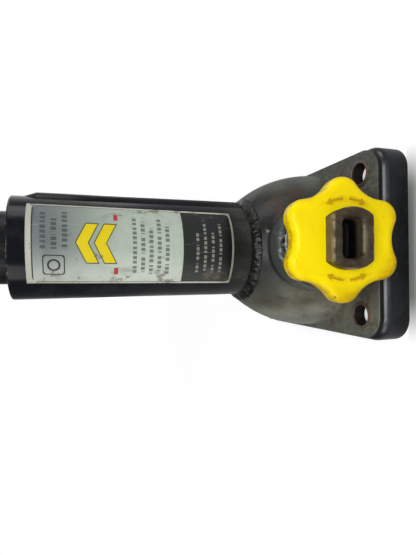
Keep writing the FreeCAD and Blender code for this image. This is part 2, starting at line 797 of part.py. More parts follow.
def screw_stop():
    """Washer and clip at the top of the screw that stop the nut."""
    washer = new_body("screw_stop_washer")
    washer_top = "(screw_top + stop_thickness)"
    spin(washer, "Revolution", [
        ("spigot_radius", "screw_top"),
        ("stop_radius", "screw_top"),
        ("stop_radius", washer_top),
        ("spigot_radius", washer_top),
    ])
    return [washer, clip("screw_stop_clip", "spigot_radius", washer_top)]


def bevel_pinion():
    """Pinion in one piece with the journal of the drive shaft and the stem that carries the socket."""
    body = new_body("bevel_pinion", slanted=True)
    inner_end = f"({INNER_SHARE} * {PINION_END})"
    spin(body, "Revolution", [
        ("0", inner_end),
        (f"{INNER_SHARE} * {PINION_TIP}", inner_end),
        (PINION_TIP, PINION_END),
        ("pinion_hub_radius", f"{PINION_END} + ({PINION_TIP} - pinion_hub_radius)"),
        ("pinion_hub_radius", HUB_END),
        ("shaft_radius", HUB_END),
        ("shaft_radius", SOCKET_START),
        ("shaft_radius - stem_step", SOCKET_START),
        ("shaft_radius - stem_step", f"{SOCKET_START} + shaft_stem"),
        ("0", f"{SOCKET_START} + shaft_stem"),
    ])
    half_gap = f"(pi * {PINION_R} / pinion_teeth / 2 + tooth_backlash / 4)"
    step = "180 / pinion_teeth"
    tip_x = f"({PINION_TIP} * sin({step}) - tooth_tip / 2 * cos({step}))"
    tip_y = f"({PINION_TIP} * cos({step}) + tooth_tip / 2 * sin({step}))"
    root_x = f"({PINION_ROOT} * tan({step} / 2))"
    side = [
        (root_x, PINION_ROOT),
        (half_gap, PINION_R),
        (tip_x, tip_y),
        (f"{CUTTER_REACH} * {tip_x}", f"{CUTTER_REACH} * {tip_y}"),
    ]
    sections = []
    for share in (f"(1 + tooth_runout / {PINION_END})", f"({INNER_SHARE} - tooth_clearance / tooth_face)"):
        sketch = new_sketch(body, "XY_Plane", f"{PINION_END} * {share}")
        right = [(f"{share} * {x}", f"-{share} * ({y})") for x, y in side]
        left = [(f"-{share} * {x}", f"-{share} * ({y})") for x, y in reversed(side)]
        outline(sketch, right + left)
        sections.append(sketch)
    tooth_gaps(body, sections, "pinion_teeth")
    pin_hole(body)
    return body


def pin_place(feature):
    """Lays a cylinder across the drive shaft, just behind the knob."""
    across = FreeCAD.Rotation(FreeCAD.Vector(0, 1, 0), 90)
    feature.Placement = FreeCAD.Placement(FreeCAD.Vector(), across)
    tie(feature, ".Placement.Base.x", "-(socket_length / 2 - socket_edge)")
    tie(feature, ".Placement.Base.z", f"({SOCKET_START} + {KNOB_BACK}) / 2")


def pin_hole(body):
    """Cross hole for the pin of the socket."""
    hole = body.newObject("PartDesign::SubtractiveCylinder", f"{body.Name}_pin_hole")
    tie(hole, "Radius", "socket_pin_radius")
    tie(hole, "Height", "socket_length - 2 * socket_edge")
    pin_place(hole)


def socket_section(sketch):
    """Double-D section of the socket head, round towards +X and -X, flat above and below."""
    half = "(socket_width / 2)"
    reach = "sqrt(socket_length^2 - socket_width^2) / 2"
    outline(sketch, [
        (f"-{reach}", f"-{half}"),
        (reach, f"-{half}", (1, "(socket_length / 2)")),
        (reach, half),
        (f"-{reach}", half, (1, "(socket_length / 2)")),
    ])


def drive_socket():
    """Forged socket head with the crank slot, pinned on the stem of the pinion."""
    body = new_body("drive_socket", slanted=True)
    section = new_sketch(body, "XY_Plane", SOCKET_START)
    socket_section(section)
    extrude(body, "Pad", section, f"{SOCKET_END} - {SOCKET_START}")
    front = number(SOCKET_END)
    fillet(body, "socket_edge", lambda edge: level(edge, front))
    slot = new_sketch(body, "XY_Plane", SOCKET_END)
    rounded_box(slot, "(slot_length / 2)", "(slot_width / 2)", "slot_corner")
    extrude(body, "Pocket", slot, "slot_depth")
    half = number("slot_length / 2")
    dress(body, "Chamfer", "Size", "slot_mouth",
          lambda edge: level(edge, front) and edge.BoundBox.XMax < half + TOUCH)
    rod(body, "Subtractive", "shaft_radius - stem_step", SOCKET_START, "shaft_stem")
    pin_hole(body)
    return body


def socket_pin():
    """Cross pin that holds the socket on the stem."""
    body = new_body("socket_pin", slanted=True)
    pin = body.newObject("PartDesign::AdditiveCylinder", "socket_pin_rod")
    tie(pin, "Radius", "socket_pin_radius")
    tie(pin, "Height", "socket_length - 2 * socket_edge")
    pin_place(pin)
    return body


def washer(label, start, outer):
    """Flat washer on the drive shaft."""
    body = new_body(label, slanted=True)
    spin(body, "Revolution", [
        ("shaft_radius", start),
        (outer, start),
        (outer, f"{start} + washer_thickness"),
        ("shaft_radius", f"{start} + washer_thickness"),
    ])
    return body


def star_knob():
    """Six-lobed hand knob, hollow behind, with a hole that fits the socket head."""
    body = new_body("star_knob", slanted=True)
    disc = new_sketch(body, "XY_Plane", KNOB_BACK)
    circle(disc, "0", "0", "knob_radius")
    extrude(body, "Pad", disc, "knob_thickness")
    doc.recompute()
    bite = rod(body, "Subtractive", BITE_R, KNOB_BACK, "knob_thickness", along=f"{VALLEY_R} + {BITE_R}")
    doc.recompute()
    polar(body, bite, "knob_lobes")
    thickness = number("knob_thickness")
    fillet(body, "knob_lobe_round", lambda edge: abs(edge.BoundBox.ZLength - thickness) < TOUCH)
    front = number(KNOB_FRONT)
    back = number(KNOB_BACK)
    fillet(body, "knob_edge", lambda edge: level(edge, front))
    fillet(body, "knob_back_edge", lambda edge: level(edge, back))
    spin(body, "Groove", [
        ("socket_length / 2 + knob_hub", KNOB_BACK),
        (f"{VALLEY_R} - knob_rim", KNOB_BACK),
        (f"{VALLEY_R} - knob_rim", f"{KNOB_BACK} + knob_recess"),
        ("socket_length / 2 + knob_hub", f"{KNOB_BACK} + knob_recess"),
    ])
    section = new_sketch(body, "XY_Plane", KNOB_BACK)
    socket_section(section)
    extrude(body, "Pocket", section, "knob_thickness", flip=True)
    return body


def nut_pin_holes(body, kind):
    """The pair of radial pins between nut and ram, as holes or as solids."""
    feature = body.newObject(f"PartDesign::{kind}Cylinder", f"{body.Name}_pin")
    lay = FreeCAD.Rotation(FreeCAD.Vector(1, 0, 0), 90)
    feature.Placement = FreeCAD.Placement(FreeCAD.Vector(), lay)
    start = "(screw_radius + thread_slack + nut_pin_wall)"
    tie(feature, "Radius", "nut_pin_radius")
    tie(feature, "Height", f"{RAM_R} - {start}")
    tie(feature, ".Placement.Base.y", f"-{start}")
    tie(feature, ".Placement.Base.z", "nut_base + nut_flange + nut_neck / 2")
    doc.recompute()
    polar(body, feature, "nut_pin_count")


def ram_tube():
    """Inner tube that carries the load, with two pin holes for the nut."""
    body = new_body("ram_tube")
    base = "(nut_base + nut_flange)"
    spin(body, "Revolution", [
        (RAM_BORE_R, base),
        (RAM_R, base),
        (RAM_R, "ram_top"),
        (RAM_BORE_R, "ram_top"),
    ])
    nut_pin_holes(body, "Subtractive")
    return body


def ram_nut():
    """Nut in the foot of the ram, with the lug that slides in the channel of the guide rib."""
    body = new_body("ram_nut")
    bore = "screw_radius + thread_slack"
    shoulder = "(nut_base + nut_flange)"
    spin(body, "Revolution", [
        (bore, "nut_base"),
        (f"{BORE_R} - nut_slack", "nut_base"),
        (f"{BORE_R} - nut_slack", shoulder),
        (RAM_BORE_R, shoulder),
        (RAM_BORE_R, f"{shoulder} + nut_neck"),
        (bore, f"{shoulder} + nut_neck"),
    ])
    across = f"{RIB_CENTRE} * cos(rib_angle)"
    along = f"{RIB_CENTRE} * sin(rib_angle)"
    rod(body, "Additive", "rib_radius - rib_wall - lug_slack", "nut_base", "nut_flange", across, along)
    nut_pin_holes(body, "Subtractive")
    return body


def nut_pins():
    """Two pins that hold the nut in the ram."""
    body = new_body("nut_pins")
    body.AllowCompound = True
    nut_pin_holes(body, "Additive")
    return body


def ram_head():
    """Plug in the top of the ram with the bearing of the saddle."""
    body = new_body("ram_head")
    bore = "stem_radius + stem_slack"
    spin(body, "Revolution", [
        (bore, "ram_top - head_plug"),
        (RAM_BORE_R, "ram_top - head_plug"),
        (RAM_BORE_R, "ram_top"),
        (RAM_R, "ram_top"),
        (RAM_R, "ram_top + head_flange"),
        (bore, "ram_top + head_flange"),
    ])
    return body


def saddle():
    """Swivelling load pad with crossed grooves and a stem in the ram head."""
    body = new_body("saddle")
    top = f"({SADDLE_BASE} + saddle_height)"
    spin(body, "Revolution", [
        ("0", STEM_BASE),
        ("stem_radius", STEM_BASE),
        ("stem_radius", SADDLE_BASE),
        ("saddle_radius", SADDLE_BASE),
        ("saddle_radius", f"{top} - saddle_edge", (1, "saddle_edge")),
        ("saddle_radius - saddle_edge", top),
        ("0", top),
    ])
    for half_x, half_y in (("saddle_radius", "saddle_groove / 2"), ("saddle_groove / 2", "saddle_radius")):
        groove = new_sketch(body, "XY_Plane", top)
        outline(groove, [
            (f"-{half_x}", f"-{half_y}"),
            (half_x, f"-{half_y}"),
            (half_x, half_y),
            (f"-{half_x}", half_y),
        ])
        extrude(body, "Pocket", groove, "saddle_groove_depth")
    return body


def saddle_clip():
    """Clip on the saddle's stem, just under the ram head."""
    return clip("saddle_clip", "stem_radius", "ram_top - head_plug - saddle_gap - clip_thickness")


parts = [
    foot_plate(),
    gear_housing(),
    foot_rivets(),
    outer_tube(),
    tube_weld(),
    guide_bush(),
    pinion_bush(),
    *thrust_races(),
    thrust_balls(),
    ball_cage(),
    lead_screw(),
    crown_gear(),
    gear_pin(),
    *screw_stop(),
    bevel_pinion(),
    washer("pinion_washer", HUB_END, "pinion_washer_radius"),
    washer("shaft_washer", f"({BUSH_END} + washer_gap)", "washer_radius"),
    drive_socket(),
    socket_pin(),
    star_knob(),
    ram_tube(),
    ram_nut(),
    nut_pins(),
    ram_head(),
    saddle(),
    saddle_clip(),
]
doc.recompute()

for item in doc.Objects:
    if {"Invalid", "Error"} & set(item.State):
        raise RuntimeError(f"{item.Name} failed: {item.State}")
for part in parts:
    if part.Shape.isNull() or not part.Shape.isValid():
        raise RuntimeError(f"{part.Label} has no valid shape")

os.makedirs("parts", exist_ok=True)
for part in parts:
    part.Shape.exportStep(f"parts/{part.Label}.step")
    print(f"{part.Label}: {len(part.Shape.Solids)} solid(s), {part.Shape.Volume:.1f} mm3")
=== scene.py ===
import json
import math

import bmesh
import bpy
from mathutils import Matrix, Vector, noise


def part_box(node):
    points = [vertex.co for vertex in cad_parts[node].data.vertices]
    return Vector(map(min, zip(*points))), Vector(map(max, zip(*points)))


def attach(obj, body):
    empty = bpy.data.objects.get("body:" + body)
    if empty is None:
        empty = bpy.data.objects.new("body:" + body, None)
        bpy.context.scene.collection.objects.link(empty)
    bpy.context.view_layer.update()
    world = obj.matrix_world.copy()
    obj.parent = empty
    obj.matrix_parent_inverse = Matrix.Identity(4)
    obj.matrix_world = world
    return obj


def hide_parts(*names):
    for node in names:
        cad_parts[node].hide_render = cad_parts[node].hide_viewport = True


# A screw bottle jack on its foot: metres, +Z up along the lifting screw, drive shaft towards -Y.

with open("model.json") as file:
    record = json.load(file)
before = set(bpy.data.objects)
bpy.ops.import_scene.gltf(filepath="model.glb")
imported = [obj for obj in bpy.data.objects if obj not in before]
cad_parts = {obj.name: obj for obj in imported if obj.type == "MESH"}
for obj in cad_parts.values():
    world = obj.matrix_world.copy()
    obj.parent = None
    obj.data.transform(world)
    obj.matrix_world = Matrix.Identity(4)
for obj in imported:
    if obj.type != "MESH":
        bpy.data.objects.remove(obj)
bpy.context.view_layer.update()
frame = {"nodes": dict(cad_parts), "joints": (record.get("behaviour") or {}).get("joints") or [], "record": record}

MM = 0.001
ORIGIN = Vector((0, 0, 0))
X_AXIS = Vector((1, 0, 0))
Y_AXIS = Vector((0, 1, 0))
Z_AXIS = Vector((0, 0, 1))
# Vertices closer than this are one
SEAM = 0.001 * MM
# Faces that meet more sharply than this keep a sharp edge
SHARP = math.radians(30)
# The housing's flange plate, which lies on the foot
PLATE_THICKNESS = 2.5 * MM

nodes = frame["nodes"]
joints = {joint["name"]: joint for joint in frame["joints"]}

# Places read from the frame
APEX = Vector(joints["drive_turn"]["pos_m"])
OUTWARD = -Vector(joints["drive_turn"]["axis"]).normalized()
SHAFT_UP = X_AXIS.cross(-OUTWARD).normalized()
tube_low, tube_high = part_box("outer_tube")
TUBE_RADIUS = -tube_low.x
TUBE_TOP = tube_high.z
foot_low, foot_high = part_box("foot_plate")
PLATE_TOP = foot_high.z + PLATE_THICKNESS
weld_low, weld_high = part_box("tube_weld")
SADDLE_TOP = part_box("saddle")[1].z
SOCKET_HALF_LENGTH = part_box("drive_socket")[1].x


def on_shaft(reach):
    """A point on the axis of the drive shaft, so far from its apex."""
    return APEX + OUTWARD * reach


def reach_of(node):
    """How far along the drive shaft a CAD node reaches."""
    return max((vert.co - APEX).dot(OUTWARD) for vert in nodes[node].data.vertices)


# Middles of the front faces of knob, socket and collar; the bush's flange stands before the collar
BUSH_FLANGE = 4.0 * MM
KNOB_FACE = on_shaft(reach_of("star_knob"))
SOCKET_FACE = on_shaft(reach_of("drive_socket"))
COLLAR_FACE = on_shaft(reach_of("pinion_bush") - BUSH_FLANGE)

# Camera, as fitted to the photograph's edges
CAMERA_PLACE = Vector((-15.5, -214.5, 152.4)) * MM
CAMERA_FORWARD = Vector((0.0002, 0.9485, -0.3167))
CAMERA_RIGHT = Vector((-0.0128, -0.3166, -0.9485))
FOCAL_PIXELS = 403.7
FRAME_HEIGHT = 555
SENSOR = 36.0

# Weld bead: how far it reaches into tube and housing, its ripples, and the size of its lumps
BEAD_SINK = 0.3 * MM
BEAD_STEPS = 520
BEAD_RIPPLES = 84
RIPPLE_HEIGHT = 0.14 * MM
RIPPLE_MIDDLE = 0.6
RIPPLE_SLANT = 2.0
LUMP_HEIGHT = 0.36 * MM
LUMP_SIZE = 2.0 * MM
# How far the bead is let down for its lumps, and how much they rise for each step outwards
BEAD_SETTLE = 0.1 * MM
LUMP_RISE = 0.8
# 1 makes the bead's section a full quarter round and 2 makes it straight
BEAD_FLATNESS = 1.4

# Turning arrows moulded on the knob's face
ARROW_RADIUS = 17.4 * MM
ARROW_GAP = math.radians(5)
ARROW_REACH = math.radians(22)
ARROW_HEAD = 2.6 * MM
ARROW_WIDTH = 0.9 * MM
ARROW_HEAD_SHARE = 0.6
ARROW_STEPS = 8
ARROW_RISE = 0.6 * MM
ARROW_SINK = 0.1 * MM

# Across the knob's face, the way that its low and right lobes lie
SHADE_WAY = X_AXIS * -0.6 - SHAFT_UP * 0.8

# Half sizes of the socket head and of the crank's slot in it, and how finely its wear is smoothed
SLOT_HALF_LENGTH = 8.45 * MM
SLOT_HALF_WIDTH = 4.5 * MM
SOCKET_HALF_WIDTH = 9.0 * MM
WEAR_GRID = 0.4 * MM
WEAR_PASSES = 10

# Label: a foil wrapped on the tube, set a little askew
LABEL_LOW = 75.0 * MM
LABEL_HIGH = 172.0 * MM
LABEL_HALF_TURN = math.radians(46.0)
LABEL_SKEW = math.radians(-4.4)
LABEL_MIDDLE = math.radians(1.0)
LABEL_LIFT = 0.03 * MM
LABEL_THICKNESS = 0.12 * MM
LABEL_ROWS = 12
LABEL_STEPS = 40
LABEL_WIDTH = 2 * LABEL_HALF_TURN * TUBE_RADIUS
LABEL_LENGTH = LABEL_HIGH - LABEL_LOW

# What the label shows, in millimetres on the flat foil from its lower left corner
BORDER = 1.1
TOP_BORDER = 2.4
FOIL_SIDE = 1.4
FOIL_TOP = 3.0
PANEL_TOP = 26.5
DASH_STEP = 2.3
DASH_GROUP = 9.2
CHEVRON_PLACES = (65.5, 73.5)
CHEVRON_SLOPE = 0.5
CHEVRON_HALF_BAND = 2.5
CHEVRON_HALF_WIDTH = 9.0
CHEVRON_LINE = 0.45
BAR_PLACES = (5.5, 31.5)
BAR_LOW = 57.5
BAR_HIGH = 59.2
BAR_LENGTH = 3.2
SIGN_X = 9.6
SIGN_Y = 85.5

# Trapezoid thread of the lifting screw, right-handed, with a relief groove above the thrust collar
THREAD_LEAD = 5.0 * MM
THREAD_DEPTH = 2.7 * MM
THREAD_CREST = 1.8 * MM
THREAD_FLANK = math.radians(15)
THREAD_STEPS = 48
RELIEF_RADIUS = 6.9 * MM
RELIEF_LENGTH = 3.0 * MM
SCREW_RADIUS = 10.0 * MM
SHANK_LOW = 32.6 * MM
SHANK_HIGH = 168.0 * MM
COLLAR_STUB = 1.0 * MM
SPIGOT_STUB = 0.3 * MM
# Turns before the thread's low end, which the cut there takes off
SPARE_TURNS = 2
# How far a vertex may lie off a level cut
LEVEL = 0.01 * MM

# Middles of the stains on the housing, of the rubbed top of the collar, where glints are painted, and of a paint
# chip under the weld
STAIN_PLACE = Vector((24, -31, 46)) * MM
LOW_STAINS = (Vector((-23.7, -33.6, 38.3)) * MM, Vector((-33.8, -28.4, 19.4)) * MM)
RUB_AND_GLINT_PLACE = Vector((-2, -45.2, 59.6)) * MM
CHIP_PLACE = Vector((7.4, -29.8, 58.6)) * MM


def srgb(red, green, blue):
    """A screen colour, 0 to 255, as the linear colour of a shader."""
    def linear(value):
        share = value / 255
        return share / 12.92 if share <= 0.04045 else ((share + 0.055) / 1.055) ** 2.4
    return (linear(red), linear(green), linear(blue), 1.0)


SOCKETS = {
    "metallic": "Metallic",
    "specular": "Specular IOR Level",
    "glow": "Emission Color",
    "glow_strength": "Emission Strength",
}


class Wire:
    """One output among a finish's nodes; arithmetic on wires adds Math nodes."""

    def __init__(self, finish, output):
        self.finish = finish
        self.output = output

    def math(self, operation, *values):
        return self.finish.node("ShaderNodeMath", {"operation": operation}, dict(enumerate(values)))

    def __add__(self, other):
        return self.math("ADD", self, other)

    def __sub__(self, other):
        return self.math("SUBTRACT", self, other)

    def __rsub__(self, other):
        return self.math("SUBTRACT", other, self)

    def __mul__(self, other):
        return self.math("MULTIPLY", self, other)

    def __truediv__(self, other):
        return self.math("DIVIDE", self, other)

    def __abs__(self):
        return self.math("ABSOLUTE", self)

    def root(self):
        return self.math("SQRT", self)

    def fraction(self):
        return self.math("FRACT", self)

    def least(self, other):
        return self.math("MINIMUM", self, other)

    def most(self, other):
        return self.math("MAXIMUM", self, other)

    def rise(self, low, high):
        """0 below low, 1 above high and smooth between; it falls instead where low is the larger."""
        ends = {"Value": self, "From Min": low, "From Max": high}
        return self.finish.node("ShaderNodeMapRange", {"interpolation_type": "SMOOTHSTEP"}, ends)

    __radd__ = __add__
    __rmul__ = __mul__


class Nodes:
    """A node tree, with one way to add any node to it."""

    def __init__(self, tree):
        self.tree = tree

    def node(self, kind, settings, values, output=0):
        """Adds a node, with its settings first and then the values or wires of its sockets."""
        node = self.tree.nodes.new(kind)
        for name, value in settings.items():
            setattr(node, name, value)
        self.fill(node, values)
        return Wire(self, node.outputs[output])

    def fill(self, node, values):
        """Sets or links sockets of a node."""
        for name, value in values.items():
            if isinstance(value, Wire):
                self.tree.links.new(value.output, node.inputs[name])
            else:
                node.inputs[name].default_value = value

    def light(self, kind):
        """1 for light rays of one kind and 0 for the rest."""
        return self.node("ShaderNodeLightPath", {}, {}, kind)

    def blend(self, share, first, second):
        """The first colour, turning into the second as the share goes from 0 to 1."""
        return self.node("ShaderNodeMix", {"data_type": "RGBA"}, {0: share, 6: first, 7: second}, 2)


class Finish(Nodes):
    """A material of nodes that read the piece's own coordinates."""

    def __init__(self, name):
        self.material = bpy.data.materials.new(name)
        self.material.use_nodes = True
        super().__init__(self.material.node_tree)
        self.shader = self.tree.nodes["Principled BSDF"]
        self.place = self.node("ShaderNodeTexCoord", {}, {}, "Object")

    def surface(self, colour, roughness, height=None, depth=0.0, **more):
        """Feeds the shader: colour, roughness, a height for the bump and any other socket by its name."""
        values = {"Base Color": colour, "Roughness": roughness}
        if height is not None:
            values["Normal"] = self.node("ShaderNodeBump", {}, {"Height": height, "Distance": depth})
        values.update({SOCKETS[name]: value for name, value in more.items()})
        self.fill(self.shader, values)
        return self.material

    def noise(self, size, detail=3.0, stretch=(1.0, 1.0, 1.0), shift=0.0, rough=0.55):
        """Cloudy values from 0 to 1, in lumps about one size across."""
        place = self.node("ShaderNodeMapping", {}, {"Vector": self.place, "Location": (shift, shift, shift),
                                                    "Scale": stretch})
        return self.node("ShaderNodeTexNoise", {}, {"Vector": place, "Scale": 1 / size, "Detail": detail,
                                                    "Roughness": rough})

    def specks(self, size, shift=0.0):
        """Distance to the nearest of many scattered points, as a share of their spacing."""
        spread = {"Vector": self.place, "Location": (shift, shift, shift)}
        place = self.node("ShaderNodeMapping", {}, spread)
        return self.node("ShaderNodeTexVoronoi", {}, {"Vector": place, "Scale": 1 / size}, "Distance")

    def along(self, point, direction):
        """How far the surface lies from a point, measured along a direction."""
        less = {"operation": "SUBTRACT"}
        dot = {"operation": "DOT_PRODUCT"}
        arm = self.node("ShaderNodeVectorMath", less, {0: self.place, 1: point})
        return self.node("ShaderNodeVectorMath", dot, {0: arm, 1: direction}, "Value")

    def away(self, point):
        """How far the surface lies from a point."""
        between = {"operation": "DISTANCE"}
        return self.node("ShaderNodeVectorMath", between, {0: self.place, 1: point}, "Value")

    def worn_with_painted_glints(self, low, high):
        """Broken patches at the top of the collar, where hands rub the paint off, painted pale as glints too."""
        patches = self.noise(2.4 * MM, 4.0, shift=3.0).rise(low, high)
        return self.away(RUB_AND_GLINT_PLACE).rise(11 * MM, 5 * MM) * patches


def tube_paint():
    """Gloss black paint with a faint orange peel, dull scuffs and dust towards the weld."""
    finish = Finish("tube_paint")
    scuffs = finish.noise(9 * MM, 4.0, (1.0, 1.0, 0.25)).rise(0.56, 0.72)
    dust = finish.noise(16 * MM, 4.0, shift=3.0).rise(0.46, 0.7)
    low = finish.along((0, 0, weld_high.z), Z_AXIS).rise(16 * MM, 0.0)
    rim = finish.along((0, 0, TUBE_TOP), Z_AXIS).rise(-1.4 * MM, -0.4 * MM)
    nicks = finish.noise(2.5 * MM, 4.0, shift=8.0).rise(0.5, 0.66)
    peel = finish.noise(1.1 * MM, 2.0)
    colour = finish.blend(dust * 0.15 + low * (0.45 + 0.5 * dust), srgb(16, 18, 23), srgb(62, 62, 55))
    colour = finish.blend(scuffs * 0.3, colour, srgb(38, 41, 44))
    colour = finish.blend(rim * nicks * 0.8, colour, srgb(90, 88, 82))
    return finish.surface(colour, 0.2 + 0.14 * scuffs + 0.16 * dust, peel, 0.03 * MM, specular=0.22)


def weld_paint():
    """Black paint over the bead, glossy on its lumps, with rust and dirt in its folds."""
    finish = Finish("weld_paint")
    rust = finish.noise(4 * MM, 4.0).rise(0.5, 0.66)
    colour = finish.blend(rust * 0.6, srgb(18, 19, 18), srgb(52, 47, 39))
    grain = finish.noise(0.9 * MM, 3.0)
    return finish.surface(colour, 0.16 + 0.25 * rust, grain, 0.14 * MM, specular=0.25)


def housing_paint():
    """Satin black paint under a grey film, worn on plate and collar, with brown rust in patches, and painted
    light, sheen, glints and shade.
    """
    finish = Finish("housing_paint")
    film = finish.noise(16 * MM, 5.0).rise(0.36, 0.66)
    rust = finish.noise(9 * MM, 6.0, shift=5.0, rough=0.65).rise(0.52, 0.66)
    fine = finish.noise(2.2 * MM, 5.0, shift=9.0)
    scratches = finish.noise(1.6 * MM, 4.0, (1.0, 0.12, 1.0), shift=2.0).rise(0.58, 0.68)
    dents = finish.noise(11 * MM, 2.0, shift=6.0)
    height = finish.along((0, 0, PLATE_TOP), Z_AXIS)
    edge = height.rise(-0.35 * MM, -0.7 * MM)
    plate = height.rise(1.4 * MM, 0.2 * MM)
    foot = height.rise(9 * MM, 0.5 * MM)
    neck = height.rise(24 * MM, 42 * MM)
    painted_light_side = finish.along(ORIGIN, -X_AXIS).rise(8 * MM, 38 * MM)
    patches = finish.noise(5 * MM, 5.0, shift=1.0).rise(0.42, 0.58)
    stain = finish.away(STAIN_PLACE).rise(19 * MM, 7 * MM)
    for place in LOW_STAINS:
        stain = stain.most(finish.away(place).rise(13 * MM, 3 * MM) * 0.6)
    stain = stain * patches * (0.4 + 0.6 * fine.rise(0.42, 0.56))
    rim = finish.away(COLLAR_FACE).rise(27 * MM, 25 * MM)
    chips = rim * finish.specks(9 * MM, shift=6.0).rise(0.13, 0.09)
    ragged = finish.away(CHIP_PLACE) + (fine - 0.5) * (4.0 * MM)
    chips = chips.most(ragged.rise(1.5 * MM, 0.7 * MM) * 0.7)
    colour = finish.blend(film * (0.8 - 0.7 * neck + 0.2 * painted_light_side), srgb(22, 25, 23), srgb(58, 63, 56))
    # painted light: paler towards the -X side, as if lit from there
    colour = finish.blend(painted_light_side * (1 - 0.6 * neck) * (0.5 + 0.5 * film), colour, srgb(130, 128, 112))
    width = abs(finish.along(ORIGIN, X_AXIS))
    # painted sheen: paler towards the outlines of both flanks
    painted_flank_sheen = width.rise(26 * MM, 44 * MM)
    colour = finish.blend(painted_flank_sheen * (1 - plate) * (0.45 + 0.35 * film), colour, srgb(130, 134, 122))
    worn = plate * (0.35 + 0.65 * fine.rise(0.35, 0.65))
    colour = finish.blend(worn * 0.85, colour, srgb(92, 93, 82))
    colour = finish.blend(plate * width.rise(35 * MM, 45 * MM) * 0.5, colour, srgb(58, 62, 58))
    # painted sheen along the collar's rim
    colour = finish.blend(rim * 0.55, colour, srgb(94, 100, 96))
    # rubbed paint on top of the collar, painted pale as glints too
    worn_with_painted_glints = finish.worn_with_painted_glints(0.5, 0.58) * finish.along(COLLAR_FACE, OUTWARD).rise(-3.2 * MM, -1.6 * MM)
    colour = finish.blend(worn_with_painted_glints * 0.6, colour, srgb(150, 152, 148))
    colour = finish.blend(scratches * plate * 0.4, colour, srgb(100, 102, 93))
    brown = (rust * (0.3 + 0.4 * foot - 0.15 * neck)).most(stain * 0.85)
    colour = finish.blend(brown, colour, srgb(78, 54, 36))
    colour = finish.blend(chips * 0.8, colour, srgb(152, 150, 138))
    # painted shade: the plate's edge face darkened to near black, as the groove under its overhang
    colour = finish.blend(edge, colour, srgb(14, 15, 16))
    roughness = 0.33 + 0.12 * film + 0.2 * brown + 0.08 * plate
    return finish.surface(colour, roughness, fine * 0.35 + rust * 0.2 + dents, 0.4 * MM, specular=0.3)


def foot_paint():
    """Gloss black paint with dust and scuffs, and a painted highlight along the bend."""
    finish = Finish("foot_paint")
    painted_bend_highlight = finish.along((0, 0, PLATE_TOP), Z_AXIS).rise(-6.4 * MM, -2.9 * MM)
    blotches = finish.noise(14 * MM, 4.0, shift=7.0).rise(0.4, 0.62)
    middle = abs(finish.along(ORIGIN, X_AXIS)).rise(44 * MM, 32 * MM)
    scuffs = finish.noise(6 * MM, 5.0).rise(0.56, 0.72)
    dust = finish.noise(22 * MM, 4.0, shift=2.0).rise(0.4, 0.75)
    peel = finish.noise(1.3 * MM, 2.0)
    colour = finish.blend(dust * 0.25, srgb(9, 10, 14), srgb(52, 57, 64))
    # painted highlight along the bend, broken into blotches and fading towards the corners
    colour = finish.blend(painted_bend_highlight * middle * (0.3 + 0.4 * blotches), colour, srgb(116, 124, 126))
    colour = finish.blend(scuffs * 0.2, colour, srgb(60, 60, 57))
    return finish.surface(colour, 0.2 + 0.14 * scuffs + 0.08 * dust, peel, 0.03 * MM, specular=0.45)


def rivet_steel():
    """Rolled steel, brown with rust on the lip and dark inside."""
    finish = Finish("rivet_steel")
    rust = finish.noise(2.6 * MM, 5.0).rise(0.4, 0.62)
    lip = finish.along((0, 0, PLATE_TOP), Z_AXIS).rise(-0.6 * MM, 0.5 * MM)
    bare = finish.blend(lip, srgb(34, 36, 37), srgb(84, 78, 70))
    colour = finish.blend(rust * (0.08 + 0.7 * lip), bare, srgb(108, 70, 46))
    pits = finish.noise(0.7 * MM, 4.0)
    return finish.surface(colour, 0.42 + 0.3 * rust, pits, 0.1 * MM, metallic=0.3)


def bush_paint():
    """Gloss black with a few pale chips, rubbed pale on top, where the pale patches are painted glints too."""
    finish = Finish("bush_paint")
    chips = finish.specks(6 * MM).rise(0.15, 0.1)
    peel = finish.noise(1.5 * MM, 2.0)
    # pale chips, and rubbed patches painted pale as glints
    pale = chips.most(finish.worn_with_painted_glints(0.46, 0.56) * 0.6)
    colour = finish.blend(pale, srgb(18, 20, 21), srgb(150, 152, 148))
    return finish.surface(colour, 0.12 + 0.2 * chips, peel, 0.03 * MM)


def knob_yellow():
    """Bright yellow moulding, amber with dirt down its sides and marked by knocks."""
    finish = Finish("knob_yellow")
    depth = finish.along(KNOB_FACE, OUTWARD)
    side = depth.rise(-0.4 * MM, -4.5 * MM)
    grime = finish.noise(3.2 * MM, 5.0).rise(0.38, 0.66)
    tone = finish.noise(14 * MM, 3.0, shift=4.0)
    knocks = finish.specks(8 * MM, shift=1.0).rise(0.1, 0.05)
    flecks = finish.noise(1.5 * MM, 4.0, shift=7.0).rise(0.66, 0.74)
    reach = finish.away(KNOB_FACE)
    outer = reach.rise(17 * MM, 26 * MM)
    shaded = outer * finish.along(KNOB_FACE, SHADE_WAY).rise(-2 * MM, 22 * MM)
    across = abs(finish.along(KNOB_FACE, X_AXIS))
    marks = (1.9 * MM - abs(reach - ARROW_RADIUS)).rise(0.0, 1.2 * MM) * across.rise(13.5 * MM, 16 * MM)
    colour = finish.blend(tone.rise(0.35, 0.7) * 0.6, srgb(255, 228, 0), srgb(244, 212, 0))
    colour = finish.blend(shaded * (0.7 + 0.3 * grime), colour, srgb(184, 144, 0))
    raised = depth.rise(0.2 * MM, 0.35 * MM)
    colour = finish.blend((marks * (0.1 + 0.3 * grime)).most(raised * 0.75), colour, srgb(176, 124, 4))
    colour = finish.blend(side * (0.1 + 0.65 * grime), colour, srgb(176, 118, 10))
    colour = finish.blend((knocks * outer * 0.8).most(flecks * 0.45), colour, srgb(116, 80, 18))
    grain = finish.noise(1.6 * MM, 3.0)
    roughness = 0.18 + 0.22 * grime * side + 0.08 * tone
    return finish.surface(colour, roughness, grain, 0.05 * MM, specular=0.15)


